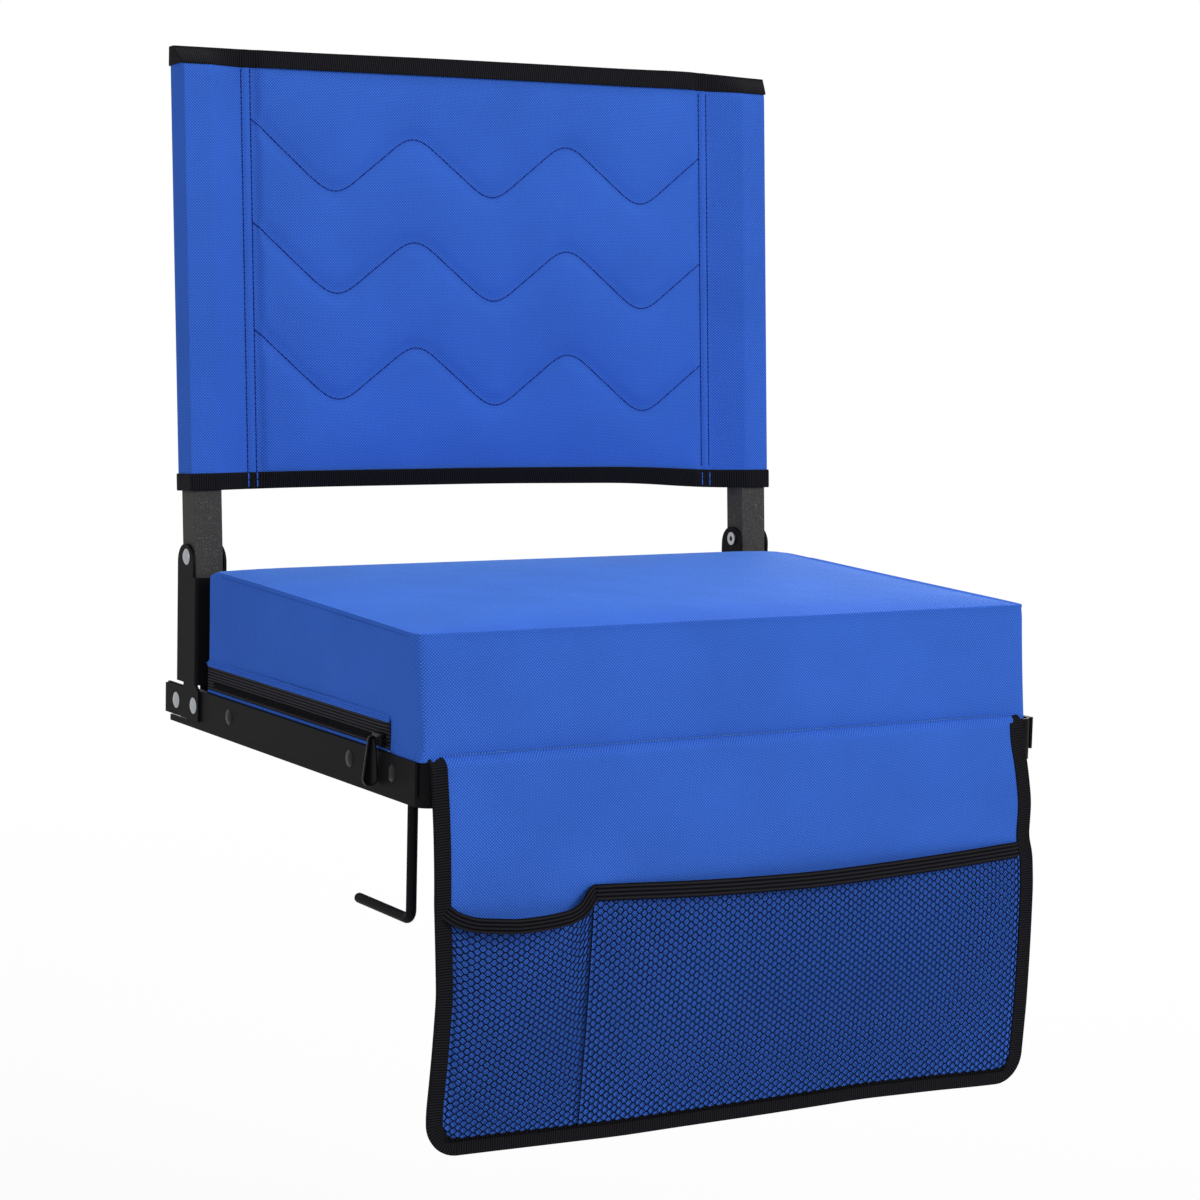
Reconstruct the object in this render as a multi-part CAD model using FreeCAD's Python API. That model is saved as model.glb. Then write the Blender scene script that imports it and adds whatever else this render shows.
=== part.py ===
import FreeCAD, Part
import os
from math import cos, radians, sin, sqrt

V = FreeCAD.Vector

# Folding stadium seat. Millimetres, +Z up, the sitter faces -Y, +X is to the right seen from the front.
# The origin is on the bench, in the middle of the rear rail's underside.

# Base frame: a ring of angle steel with flat bars riveted along its sides
frame_width = 504.0
frame_depth = 406.0
rail_height = 30.0
rail_flange = 20.0
rail_sheet = 2.0
front_corner_radius = 10.0
rear_notch_length = 30.0
rear_band_height = 4.5
rear_wall_relief = 4.0
plate_height = 23.0
plate_thickness = 2.0
plate_setback = 5.0

# Straps across the frame, under the seat board
strap_width = 24.0
strap_sheet = 1.5
strap_ear_drop = 21.0
front_strap_setback = 99.5
rear_strap_setback = 295.0

# Rivets
rivet_drop = 12.0
rivet_shank = 5.0
rivet_head = 12.0
rivet_head_height = 1.6
rivet_tail = 8.0
rivet_tail_height = 1.2
rivet_fit = 0.05

# Folding bench hooks
rod_diameter = 7.0
hook_gap = 74.5
hook_foot = 75.0
hook_bend = 7.0
rod_tail = 7.0
rod_clearance = 0.1
slot_clearance = 1.0
loop_lift = 0.9
clip_width = 12.0
clip_gap = 0.6

# Cushion: cover, foam, board and zip
cushion_side_inset = 2.0
cushion_rear_gap = 11.0
cushion_front_height = 80.0
cushion_rear_height = 89.0
cushion_crown = 5.0
cushion_front_lean = 14.0
cushion_rear_radius = 22.0
cushion_corner_draw = 8.0
cushion_top_draw = 3.0
cushion_edge_band = 18.0
cover_wall = 1.2
soft_clearance = 0.3
board_thickness = 5.0
board_margin = 6.0
screw_shank = 4.0
screw_head = 8.0
screw_head_height = 2.2
screw_bite = 3.6
screw_spacing = 150.0
zip_rise = 2.5
zip_tape_width = 9.5
zip_tape_thickness = 1.0
zip_coil_width = 4.0
zip_coil_thickness = 1.2
zip_front_setback = 48.5
zip_rear_margin = 4.0
slider_from_zip_end = 10.0
slider_length = 12.0
slider_width = 8.0
slider_cap = 2.6
slider_gap = 0.3
bail_bar = 1.5
bail_reach = 3.4
bail_span = 8.0
pull_length = 31.0
pull_width = 11.0
pull_neck = 6.0
pull_thickness = 1.6
pull_tilt = 8.0
pull_fit = 0.05

# Hinge brackets and their rivets
bracket_sheet = 2.0
bracket_depth = 32.0
bracket_web_inset = 4.0
bracket_bend = 2.5
bracket_web_drop = 14.3
bracket_foot_lift = 3.5
bracket_top_rise = 9.5
ear_length = 60.0
ear_height = 22.0
ear_rivet_pitch = 31.5
ear_rivet_rear = 19.5
ear_neck = 22.0
pivot_rise = 8.5
pivot_setback = 26.5
pin_diameter = 8.0
pin_head = 12.0
pin_head_height = 2.0
pin_tail_diameter = 10.5
pin_tail_height = 1.4
pin_bore = 4.0
pin_clearance = 0.05

# Back: two square posts in a sewn sleeve cover
post_size = 22.0
post_wall = 1.5
back_lean = 3.9
back_top = 501.5
back_height = 327.0
post_top_inset = 17.0
post_tail = 77.0
post_side_clearance = 0.5
stop_clearance = 0.35
cap_flange = 2.5
cap_plug = 14.0
cap_fit = 0.1
back_cloth = 1.0
seam_half_width = 6.0
seam_from_post = 28.9
seam_thickness = 3.2
gore_start = 3.0
back_pad = 14.0
pad_edge = 6.0
pad_edge_run = 16.0
pinch_run = 13.0
pinch_thickness = 5.0
pad_skin = 1.8
binding_width = 12.4
binding_thickness = 1.1
wave_pitch = 135.0
wave_height = 41.0
wave_spacing = 80.5
wave_groove = 1.5
wave_count = 3
wave_top = 83.0

# Front flap with its two net pockets
flap_side_inset = 4.0
flap_drop = 267.0
flap_overlap = 3.0
flap_sheet_thickness = 1.4
flap_clearance = 0.4
flap_corner = 25.0
flap_binding_width = 12.0
flap_binding_thickness = 3.4
pocket_mouth_drop = 106.0
pocket_trim_height = 13.0
pocket_trim_thickness = 1.6
left_pocket_width = 120.0
pocket_seam = 4.0
pocket_net_thickness = 0.8
left_pocket_bow = 14.0
right_pocket_bow = 16.0

# How far a cutting tool runs past what it cuts
cut_past = 1.0

# Places worked out from the sizes above
rear_end = rail_flange / 2
front_face = rear_end - frame_depth
rail_out = frame_width / 2
rail_in = rail_out - rail_sheet
plate_out = rail_out + plate_thickness
ear_out = plate_out + bracket_sheet
rivet_z = rail_height - rivet_drop
plate_low = rail_height - plate_height
plate_front = front_face + plate_setback
front_strap_y = front_face + front_strap_setback
rear_strap_y = front_face + rear_strap_setback
leg_y = front_face + rail_flange + slot_clearance + rod_diameter / 2
front_rivet_y = leg_y + hook_bend + clip_gap + clip_width / 2
loop_radius = rod_diameter / 2 + rod_clearance + strap_sheet
rod_height = rail_sheet + loop_lift + loop_radius
rod_x = rail_in - strap_sheet - rod_clearance - rod_diameter / 2
foot_z = -hook_gap - rod_diameter / 2
pivot_y = -pivot_setback
pivot_z = rail_height + cushion_rear_height + pivot_rise
post_out = plate_out - post_side_clearance
post_mid = post_out - post_size / 2
bracket_in = post_out - post_size - post_side_clearance
# with the back leaning, the front edge of each post's foot meets the bracket's web
lean_sin = sin(radians(back_lean))
lean_cos = cos(radians(back_lean))
web_front = pivot_y - post_tail * lean_sin - post_size / 2 * lean_cos - stop_clearance - bracket_sheet
bracket_rear = web_front + bracket_depth + bracket_sheet
cushion_half = rail_out - cushion_side_inset
cushion_rear = web_front - cushion_rear_gap
cushion_low = rail_height
board_low = cushion_low + cover_wall
board_high = board_low + board_thickness
zip_low = cushion_low + zip_rise
zip_mid = zip_low + zip_tape_width / 2
zip_front = front_face + zip_front_setback
zip_rear = cushion_rear - cushion_corner_draw - zip_rear_margin
slider_y = zip_front + slider_from_zip_end
tape_face = cushion_half + zip_tape_thickness
coil_face = tape_face + zip_coil_thickness
slider_face = coil_face + slider_gap + slider_cap
bail_x = slider_face + bail_reach
back_bottom = back_top - back_height
cover_top = back_top - binding_thickness
sleeve_half = post_size / 2 + soft_clearance + back_cloth
sleeve_out = post_out + soft_clearance + back_cloth
sleeve_in = post_out - post_size - soft_clearance - back_cloth
seam_mid = sleeve_in - seam_from_post
flap_fold = (flap_binding_thickness - flap_sheet_thickness) / 2
flap_back = front_face - flap_clearance - flap_fold
flap_front = flap_back - flap_sheet_thickness
flap_half_width = cushion_half - flap_side_inset
pocket_divider = left_pocket_width - flap_half_width
flap_top = cushion_low + flap_overlap
flap_low = cushion_low - flap_drop
pocket_mouth = cushion_low - pocket_mouth_drop


def block(x0, x1, y0, y1, z0, z1):
    """A box between the given corners."""
    return Part.makeBox(x1 - x0, y1 - y0, z1 - z0, V(x0, y0, z0))


def rod_along(axis, centre, radius, length):
    """A cylinder from its start point along an axis."""
    return Part.makeCylinder(radius, length, centre, axis)


def mirrored(shape):
    """The same shape on the other side of the seat."""
    return shape.mirror(V(0, 0, 0), V(1, 0, 0))


def wire_of(points):
    """A closed wire of straight lines."""
    return Part.makePolygon(points + [points[0]])


def slab(points, direction):
    """A straight-sided solid from a closed outline."""
    return Part.Face(wire_of(points)).extrude(direction)


def arc(start, middle, end):
    """An arc through three points."""
    return Part.Arc(start, middle, end).toShape()


def line(start, end):
    """A straight edge."""
    return Part.LineSegment(start, end).toShape()


def leaned(shape):
    """Lean a piece of the upright back about the hinge axis."""
    copy = shape.copy()
    copy.rotate(V(0, pivot_y, pivot_z), V(1, 0, 0), -back_lean)
    return copy


def save(name, shape):
    """Write one node, as one solid or a group of solids."""
    shape.exportStep("parts/" + name + ".step")


def save_pair(name, shape):
    """Write a left piece and its mirror image on the right."""
    save(name + "_left", shape)
    save(name + "_right", mirrored(shape))


def front_rail():
    """Front angle with rounded corners and short returns along the sides."""
    r = front_corner_radius
    back = front_face + rail_flange

    def outline(inset):
        side = rail_out - inset
        front = front_face + inset
        bend = r - inset
        cut = bend * (1 - 1 / sqrt(2))
        return [
            line(V(-side, back, 0), V(-side, front + bend, 0)),
            arc(V(-side, front + bend, 0), V(-side + cut, front + cut, 0), V(-side + bend, front, 0)),
            line(V(-side + bend, front, 0), V(side - bend, front, 0)),
            arc(V(side - bend, front, 0), V(side - cut, front + cut, 0), V(side, front + bend, 0)),
            line(V(side, front + bend, 0), V(side, back, 0)),
            line(V(side, back, 0), V(-side, back, 0)),
        ]

    outer = Part.Face(Part.Wire(outline(0.0)))
    inner = Part.Face(Part.Wire(outline(rail_sheet)))
    hollow = inner.extrude(V(0, 0, rail_height))
    hollow.translate(V(0, 0, rail_sheet))
    # the returns are open at the back, so the hollow runs out through it
    open_back = block(-rail_in, rail_in, back - rail_sheet, back, rail_sheet, rail_height)
    return outer.extrude(V(0, 0, rail_height)).cut(hollow).cut(open_back)


def rear_rail():
    """Rear angle between the side rails, its upright cut back at both ends."""
    end = rail_out - rail_flange
    flange = block(-end, end, -rail_flange / 2, rear_end, 0, rail_sheet)
    wall_end = end - rear_wall_relief
    wall = block(-wall_end, wall_end, rear_end - rail_sheet, rear_end, rail_sheet, rail_height)
    return flange.fuse(wall)


def rivet_hole(y, z, diameter):
    """A hole through the left wall of the frame."""
    length = ear_out - rail_in + strap_sheet + 2 * cut_past
    return rod_along(V(1, 0, 0), V(-ear_out - cut_past, y, z), diameter / 2 + rivet_fit, length)


def ear_rivet_places():
    rear = rear_end - ear_rivet_rear
    return [rear, rear - ear_rivet_pitch]


def side_rail():
    """Left angle: upright wall cut down to a band at the rear, flange kept clear of the hook leg."""
    start = front_face + rail_flange
    flange_start = leg_y + rod_diameter / 2 + slot_clearance
    wall = block(-rail_out, -rail_in, start, rear_end, 0, rail_height)
    flange = block(-rail_out, -rail_out + rail_flange, flange_start, rear_end, 0, rail_sheet)
    notch_start = rear_end - rear_notch_length
    notch = block(-rail_out, -rail_in, notch_start, rear_end, rear_band_height, rail_height)
    rail = wall.cut(notch).fuse(flange)
    for y in [front_rivet_y, front_strap_y, rear_strap_y, ear_rivet_places()[1]]:
        rail = rail.cut(rivet_hole(y, rivet_z, rivet_shank))
    return rail.removeSplitter()


def side_plate():
    """Left flat bar riveted outside the rail."""
    plate = block(-plate_out, -rail_out, plate_front, rear_end, plate_low, rail_height)
    for y in [front_rivet_y, front_strap_y, rear_strap_y] + ear_rivet_places():
        plate = plate.cut(rivet_hole(y, rivet_z, rivet_shank))
    return plate


def screw_places(strap_y):
    return [V(x, strap_y, 0) for x in (-screw_spacing, 0.0, screw_spacing)]


def strap(y, with_loops):
    """Strap across the frame with ears down the rail walls, which may end in loops round the rods."""
    half = strap_width / 2
    ear_half = clip_width / 2
    top = rail_height
    low = rail_height - strap_ear_drop
    bar = block(-rail_in, rail_in, y - half, y + half, top - strap_sheet, top)
    ear = block(-rail_in, -rail_in + strap_sheet, y - ear_half, y + ear_half, low, top)
    if with_loops:
        ear = ear.fuse(rod_loop(y))
    ear = ear.cut(rivet_hole(y, rivet_z, rivet_shank))
    body = bar.fuse(ear).fuse(mirrored(ear))
    for place in screw_places(y):
        hole = rod_along(V(0, 0, 1), place, screw_shank / 2 + rivet_fit, top + cut_past)
        body = body.cut(hole)
    return body.removeSplitter()


def rod_loop(y):
    """A knuckle round the left hook rod, with its tail up the rail wall."""
    half = clip_width / 2
    start = V(-rod_x, y - half, rod_height)
    ring = rod_along(V(0, 1, 0), start, loop_radius, clip_width)
    tail = block(-rail_in, -rail_in + strap_sheet, y - half, y + half, rod_height, rivet_z)
    bore = rod_along(V(0, 1, 0), start, rod_diameter / 2 + rod_clearance, clip_width)
    return ring.fuse(tail).cut(bore)


def hook_clip():
    """Clip that holds the front of the left hook rod."""
    y = front_rivet_y
    half = clip_width / 2
    pad = block(-rail_in, -rail_in + strap_sheet, y - half, y + half, rivet_z, rivet_z + half)
    return rod_loop(y).fuse(pad).cut(rivet_hole(y, rivet_z, rivet_shank)).removeSplitter()


def hook():
    """Left bench hook: a rod along the rail, down in front and back under the bench."""
    x = -rod_x
    b = hook_bend
    c = b * (1 - 1 / sqrt(2))
    rear = front_strap_y + clip_width / 2 + rod_tail
    top = rod_height
    tip = leg_y + hook_foot
    path = Part.Wire([
        line(V(x, rear, top), V(x, leg_y + b, top)),
        arc(V(x, leg_y + b, top), V(x, leg_y + c, top - c), V(x, leg_y, top - b)),
        line(V(x, leg_y, top - b), V(x, leg_y, foot_z + b)),
        arc(V(x, leg_y, foot_z + b), V(x, leg_y + c, foot_z + c), V(x, leg_y + b, foot_z)),
        line(V(x, leg_y + b, foot_z), V(x, tip, foot_z)),
    ])
    section = Part.Wire(Part.makeCircle(rod_diameter / 2, V(x, rear, top), V(0, 1, 0)))
    rod = path.makePipeShell([section], True, False)
    nose = Part.makeSphere(rod_diameter / 2, V(x, tip, foot_z))
    return rod.fuse(nose).removeSplitter()


def rivet(y, grip_inside, grip_outside):
    """A rivet through the left wall: domed head outside, flat tail inside."""
    length = grip_outside - grip_inside
    shank = rod_along(V(1, 0, 0), V(-grip_outside, y, rivet_z), rivet_shank / 2, length)
    tail = rod_along(V(1, 0, 0), V(-grip_inside, y, rivet_z), rivet_tail / 2, rivet_tail_height)
    return shank.fuse(dome(y, rivet_z, grip_outside, rivet_head, rivet_head_height)).fuse(tail)


def dome(y, z, outside, diameter, height):
    """A low domed head on the left of the wall face at -outside."""
    r = diameter / 2
    sphere_r = (r * r + height * height) / (2 * height)
    ball = Part.makeSphere(sphere_r, V(-outside - height + sphere_r, y, z))
    keep = rod_along(V(-1, 0, 0), V(-outside, y, z), r + cut_past, height + cut_past)
    return ball.common(keep)


def plate_rivets():
    """Six black rivets: hook clips, front strap and rear strap on both sides."""
    inside = rail_in - strap_sheet
    left = [rivet(y, inside, plate_out) for y in (front_rivet_y, front_strap_y, rear_strap_y)]
    return Part.makeCompound(left + [mirrored(r) for r in left])


def ear_rivets():
    """Four bright rivets that hold the hinge brackets."""
    rear_y, front_y = ear_rivet_places()
    left = [rivet(rear_y, rail_out, ear_out), rivet(front_y, rail_in, ear_out)]
    return Part.makeCompound(left + [mirrored(r) for r in left])


def hinge_bracket():
    """Left channel round the post: front web, two flanges with round tops, an ear on the side plate."""
    top_r = (bracket_depth - bracket_web_inset) / 2
    mid_y = bracket_rear - top_r
    crown_z = pivot_z + bracket_top_rise
    spring_z = crown_z - top_r
    web_top = pivot_z - bracket_web_drop
    low = rail_height + bracket_foot_lift
    front_edge = mid_y - top_r

    def flange(x, foot):
        """Outline of one flange in the plane x, with or without the ear below it."""
        up = [
            line(V(x, bracket_rear, low), V(x, bracket_rear, spring_z)),
            arc(V(x, bracket_rear, spring_z), V(x, mid_y, crown_z), V(x, front_edge, spring_z)),
            line(V(x, front_edge, spring_z), V(x, front_edge, web_top)),
            line(V(x, front_edge, web_top), V(x, web_front, web_top)),
            line(V(x, web_front, web_top), V(x, web_front, low)),
        ]
        if not foot:
            return up + [line(V(x, web_front, low), V(x, bracket_rear, low))]
        ear_rear = rear_end
        ear_front = ear_rear - ear_length
        ear_top = plate_low + ear_height
        corners = [
            V(x, web_front, low),
            V(x, ear_front, ear_top),
            V(x, ear_front, plate_low),
            V(x, ear_rear, plate_low),
            V(x, ear_rear, ear_top),
            V(x, web_front + ear_neck, ear_top),
            V(x, web_front + ear_neck, low),
            V(x, bracket_rear, low),
        ]
        return up + [line(a, b) for a, b in zip(corners, corners[1:])]

    outer = Part.Face(Part.Wire(flange(-ear_out, True))).extrude(V(bracket_sheet, 0, 0))
    inner = Part.Face(Part.Wire(flange(-bracket_in, False))).extrude(V(bracket_sheet, 0, 0))
    web = block(-ear_out, -bracket_in + bracket_sheet, web_front, web_front + bracket_sheet, low, web_top)
    body = outer.fuse(inner).fuse(web)
    # the sheet is bent, so the two front corners are round
    bend_y = web_front + bracket_bend
    for corner_x, bend_x in (
        (-ear_out, -ear_out + bracket_bend),
        (-bracket_in + bracket_sheet, -bracket_in + bracket_sheet - bracket_bend),
    ):
        corner = block(min(corner_x, bend_x), max(corner_x, bend_x), web_front, bend_y, low, web_top)
        round_part = rod_along(V(0, 0, 1), V(bend_x, bend_y, low), bracket_bend, web_top - low)
        body = body.cut(corner.cut(round_part))
    pin_length = ear_out - bracket_in + bracket_sheet + 2 * cut_past
    pin_start = V(-ear_out - cut_past, pivot_y, pivot_z)
    body = body.cut(rod_along(V(1, 0, 0), pin_start, pin_diameter / 2 + rivet_fit, pin_length))
    for y in ear_rivet_places():
        body = body.cut(rivet_hole(y, rivet_z, rivet_shank))
    return body.removeSplitter()


def hinge_rivet():
    """Left hinge pin: domed head outside, rolled hollow end inside."""
    inside = bracket_in - bracket_sheet
    length = ear_out - inside
    shank = rod_along(V(1, 0, 0), V(-ear_out, pivot_y, pivot_z), pin_diameter / 2, length)
    tail = rod_along(V(1, 0, 0), V(-inside, pivot_y, pivot_z), pin_tail_diameter / 2, pin_tail_height)
    bore_start = V(-inside - bracket_sheet, pivot_y, pivot_z)
    bore = rod_along(V(1, 0, 0), bore_start, pin_bore / 2, bracket_sheet + pin_tail_height)
    head = dome(pivot_y, pivot_z, ear_out, pin_head, pin_head_height)
    return shank.fuse(head).fuse(tail).cut(bore)


def post():
    """Left square tube, bored for the hinge pin."""
    h = post_size / 2
    low = pivot_z - post_tail
    high = back_top - post_top_inset
    tube = block(-post_out, -post_out + post_size, pivot_y - h, pivot_y + h, low, high)
    w = post_wall
    hollow = block(-post_out + w, -post_out + post_size - w, pivot_y - h + w, pivot_y + h - w, low, high)
    pin_start = V(-post_out - cut_past, pivot_y, pivot_z)
    pin = rod_along(V(1, 0, 0), pin_start, pin_diameter / 2 + pin_clearance, post_size + 2 * cut_past)
    return leaned(tube.cut(hollow).cut(pin))


def post_cap(at_top):
    """A plug in the end of the left post; the upper one has a lip over the tube."""

    def square(half, low, high):
        return block(-post_mid - half, -post_mid + half, pivot_y - half, pivot_y + half, low, high)

    outside = post_size / 2
    inside = outside - post_wall - cap_fit
    if at_top:
        end = back_top - post_top_inset
        return leaned(square(outside, end, end + cap_flange).fuse(square(inside, end - cap_plug, end)))
    end = pivot_z - post_tail
    return leaned(square(inside, end, end + cap_plug))


def cap_pair(at_top):
    left = post_cap(at_top)
    return Part.makeCompound([left, mirrored(left)])


def cushion_section(x, inset, draw):
    """Side profile of the cushion in the plane x: flat base, leaning front, crowned top, rounded rear.

    The draw, from 0 to 1, takes in its front, rear and top towards the sides of the cushion.
    """
    base = cushion_low + inset
    front_low = front_face + inset + draw * cushion_corner_draw
    front_high = front_low + cushion_front_lean
    rear = cushion_rear - inset - draw * cushion_corner_draw
    crown = cushion_crown * (1 - (x / cushion_half) ** 2)
    top_front = rail_height + cushion_front_height - inset - draw * cushion_top_draw + crown
    top_rear = top_front + cushion_rear_height - cushion_front_height
    r = cushion_rear_radius - inset
    bend = r * (1 - 1 / sqrt(2))
    mid_y = (front_high + rear - r) / 2
    mid_z = (top_front + top_rear) / 2 + cushion_crown
    edges = [
        line(V(x, front_low, base), V(x, rear, base)),
        line(V(x, rear, base), V(x, rear, top_rear - r)),
        arc(V(x, rear, top_rear - r), V(x, rear - bend, top_rear - bend), V(x, rear - r, top_rear)),
        arc(V(x, rear - r, top_rear), V(x, mid_y, mid_z), V(x, front_high, top_front)),
        line(V(x, front_high, top_front), V(x, front_low, base)),
    ]
    return Part.Wire(edges)


def cushion_form(inset):
    """The cushion's outer form, or its inside a given distance within."""
    edge = cushion_half - inset
    full = edge - cushion_edge_band
    # how far each section lies from the side, as shares of the edge band and then of the flat middle
    right = [edge - share * cushion_edge_band for share in (1.0, 0.45, 0.15, 0.0)]
    middle = [share * full for share in (-0.66, -0.33, 0.0, 0.33, 0.66)]
    sections = []
    for x in [-x for x in reversed(right)] + middle + right:
        into_band = max(0.0, (abs(x) - full) / cushion_edge_band)
        sections.append(cushion_section(x, inset, 1 - sqrt(1 - into_band ** 2)))
    return Part.makeLoft(sections, True, True)


def screw_bores(diameter, low, high):
    """The holes of all six board screws between two heights."""
    places = screw_places(front_strap_y) + screw_places(rear_strap_y)
    return [rod_along(V(0, 0, 1), p + V(0, 0, low), diameter / 2, high - low) for p in places]


def cushion_cover():
    """Sewn cover, a closed bag with screw holes through its base."""
    bag = cushion_form(0.0).cut(cushion_form(cover_wall))
    for bore in screw_bores(screw_shank + 2 * rivet_fit, cushion_low - cut_past, board_low + cut_past):
        bag = bag.cut(bore)
    return bag


def cushion_foam():
    """Foam block on the board."""
    whole = cushion_form(cover_wall + soft_clearance)
    below = block(-cushion_half, cushion_half, front_face, 0, 0, board_high)
    return whole.cut(below)


def base_board():
    """Stiff board in the bottom of the cover."""
    m = board_margin
    side = cushion_half - cover_wall - m
    front = front_face + cover_wall + m
    rear = cushion_rear - cover_wall - m
    board = block(-side, side, front, rear, board_low, board_high)
    for bore in screw_bores(screw_shank + 2 * rivet_fit, board_low - cut_past, board_low + screw_bite):
        board = board.cut(bore)
    return board


def board_screws():
    """Six pan-head screws up through the straps into the board."""
    head_top = rail_height - strap_sheet
    screws = []
    shanks = screw_bores(screw_shank, head_top, board_low + screw_bite - rivet_fit)
    heads = screw_bores(screw_head, head_top - screw_head_height, head_top)
    for shank, head in zip(shanks, heads):
        screws.append(shank.fuse(head))
    return Part.makeCompound(screws)


def zipper_tape():
    """Tape sewn along the left side, just above the frame."""
    return block(-tape_face, -cushion_half, zip_front, zip_rear, zip_low, zip_low + zip_tape_width)


def zipper_coil():
    """The closed coil along the middle of the tape."""
    half = zip_coil_width / 2
    return block(-coil_face, -tape_face, zip_front, zip_rear, zip_mid - half, zip_mid + half)


def zipper_slider():
    """Slider that straddles the coil, with a bar outside for the pull."""
    half = slider_length / 2

    def bar_along(x0, x1, w):
        return block(x0, x1, slider_y - half, slider_y + half, zip_mid - w, zip_mid + w)

    groove = bar_along(-coil_face - slider_gap, -tape_face, zip_coil_width / 2 + slider_gap)
    body = bar_along(-slider_face, -tape_face - slider_gap, slider_width / 2).cut(groove)
    r = bail_bar / 2
    span = bail_span / 2
    bar = rod_along(V(0, 1, 0), V(-bail_x, slider_y - span, zip_mid), r, bail_span)
    legs = []
    for y in (slider_y - span, slider_y + span - bail_bar):
        legs.append(block(-bail_x - r, -slider_face, y, y + bail_bar, zip_mid - r, zip_mid + r))
    return body.fuse(bar).fuse(legs[0]).fuse(legs[1]).removeSplitter()


def zipper_pull():
    """Flat tab on the slider's bar, broad side to the front, wider at its round lower end."""
    y = slider_y - pull_thickness / 2
    neck = pull_neck / 2
    low_r = pull_width / 2
    low_z = zip_mid - pull_length + low_r
    x = -bail_x
    edges = [
        arc(V(x - neck, y, zip_mid), V(x, y, zip_mid + neck), V(x + neck, y, zip_mid)),
        line(V(x + neck, y, zip_mid), V(x + low_r, y, low_z)),
        arc(V(x + low_r, y, low_z), V(x, y, low_z - low_r), V(x - low_r, y, low_z)),
        line(V(x - low_r, y, low_z), V(x - neck, y, zip_mid)),
    ]
    tab = Part.Face(Part.Wire(edges)).extrude(V(0, pull_thickness, 0))
    eye = rod_along(V(0, 1, 0), V(x, y, zip_mid), bail_bar / 2 + pull_fit, pull_thickness)
    tab = tab.cut(eye)
    # the slider's bar holds it off the frame, so its lower end hangs a little outwards
    tab.rotate(V(x, 0, zip_mid), V(0, 1, 0), pull_tilt)
    return tab


def pad_end():
    """Where the padded panel starts to thin towards its side seam."""
    return seam_mid - seam_half_width - (back_pad - seam_thickness) / 2


def back_profile(z, sleeve_depth, pad_depth, grow):
    """Plan outline of the back cover at one height, grown outwards by a distance."""
    s = sleeve_depth + grow
    t = seam_thickness / 2 + grow
    p = pad_depth + grow
    out = sleeve_out + grow
    near = seam_mid + seam_half_width
    far = seam_mid - seam_half_width
    right = [(pad_end(), -p), (far, -t), (near, -t), (sleeve_in, -s), (out, -s)]
    front = [(-x, v) for x, v in reversed(right)] + right
    rear = [(x, -v) for x, v in reversed(front)]
    return [V(x, pivot_y + v, z) for x, v in front + rear]


def back_form(grow, low, high):
    """The padded back between two heights: its pad thins to both edges, its sleeves close at the top."""
    pad_levels = [
        (back_bottom, pad_edge / 2),
        (back_bottom + pad_edge_run, back_pad / 2),
        (cover_top - pad_edge_run, back_pad / 2),
        (cover_top, pad_edge / 2),
    ]
    sleeve_levels = [
        (back_bottom, sleeve_half),
        (cover_top - pinch_run, sleeve_half),
        (cover_top, pinch_thickness / 2),
    ]

    def depth_at(z, levels):
        for (za, da), (zb, db) in zip(levels, levels[1:]):
            if za <= z <= zb:
                return da + (db - da) * (z - za) / (zb - za)
        return levels[-1][1]

    between = {z for z, depth in pad_levels + sleeve_levels if low < z < high}
    heights = [low] + sorted(between) + [high]
    wires = []
    for z in heights:
        wires.append(wire_of(back_profile(z, depth_at(z, sleeve_levels), depth_at(z, pad_levels), grow)))
    return Part.makeLoft(wires, True, True)


def sleeve_hollow():
    """Space inside the left sleeve: the post and the gore between it and the seam."""
    c = back_cloth
    s = sleeve_half - c
    inner = sleeve_in + c
    tip = seam_mid + seam_half_width + gore_start
    t = seam_thickness / 2 - c
    half = [(-tip, -t), (-inner, -s), (-sleeve_out + c, -s)]
    ring = half + [(x, -v) for x, v in reversed(half)]
    points = [V(x, pivot_y + v, back_bottom) for x, v in ring]
    return slab(points, V(0, 0, cover_top - pinch_run - back_bottom))


def pad_hollow(grow):
    """Space for the foam inside the middle of the cover."""
    p = back_pad / 2 - pad_skin + grow
    far = pad_end() + grow
    low = back_bottom + pad_edge_run - grow
    high = cover_top - pad_edge_run + grow
    return block(-far, far, pivot_y - p, pivot_y + p, low, high)


def wave_groove_at(z, face_y):
    """One sewn wave across the panel: a round groove along arcs that turn up and down."""
    end = pad_end()
    half = wave_pitch / 2
    rise = wave_height / 2
    radius = (half * half / 4 + rise * rise) / (2 * rise)

    def point(x):
        """The wave at x: arcs that turn down at the middle of the panel and up on either side of it."""
        turn = round(x / half)
        side = 1 if turn % 2 else -1
        swell = sqrt(radius * radius - (x - turn * half) ** 2) - radius + rise
        return V(x, face_y, z + side * swell)

    last = int(end / half - 0.5)
    joints = [-end] + [(i + 0.5) * half for i in range(-last - 1, last + 1)] + [end]
    edges = [arc(point(a), point((a + b) / 2), point(b)) for a, b in zip(joints, joints[1:])]
    path = Part.Wire(edges)
    first = edges[0].tangentAt(edges[0].FirstParameter)
    section = Part.Wire(Part.makeCircle(wave_groove, point(-end), first))
    return path.makePipeShell([section], True, False)


def wave_heights():
    return [back_top - wave_top - i * wave_spacing for i in range(wave_count)]


def back_cover():
    """Sewn back cover: a sleeve for each post, a padded panel between, wavy sewn lines on its front."""
    cover = back_form(0.0, back_bottom, cover_top)
    hollow = sleeve_hollow()
    cover = cover.cut(hollow).cut(mirrored(hollow)).cut(pad_hollow(0.0))
    for z in wave_heights():
        cover = cover.cut(wave_groove_at(z, pivot_y - back_pad / 2))
    return leaned(cover)


def back_foam():
    """Thin foam inside the padded panel."""
    return leaned(pad_hollow(-soft_clearance))


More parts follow.
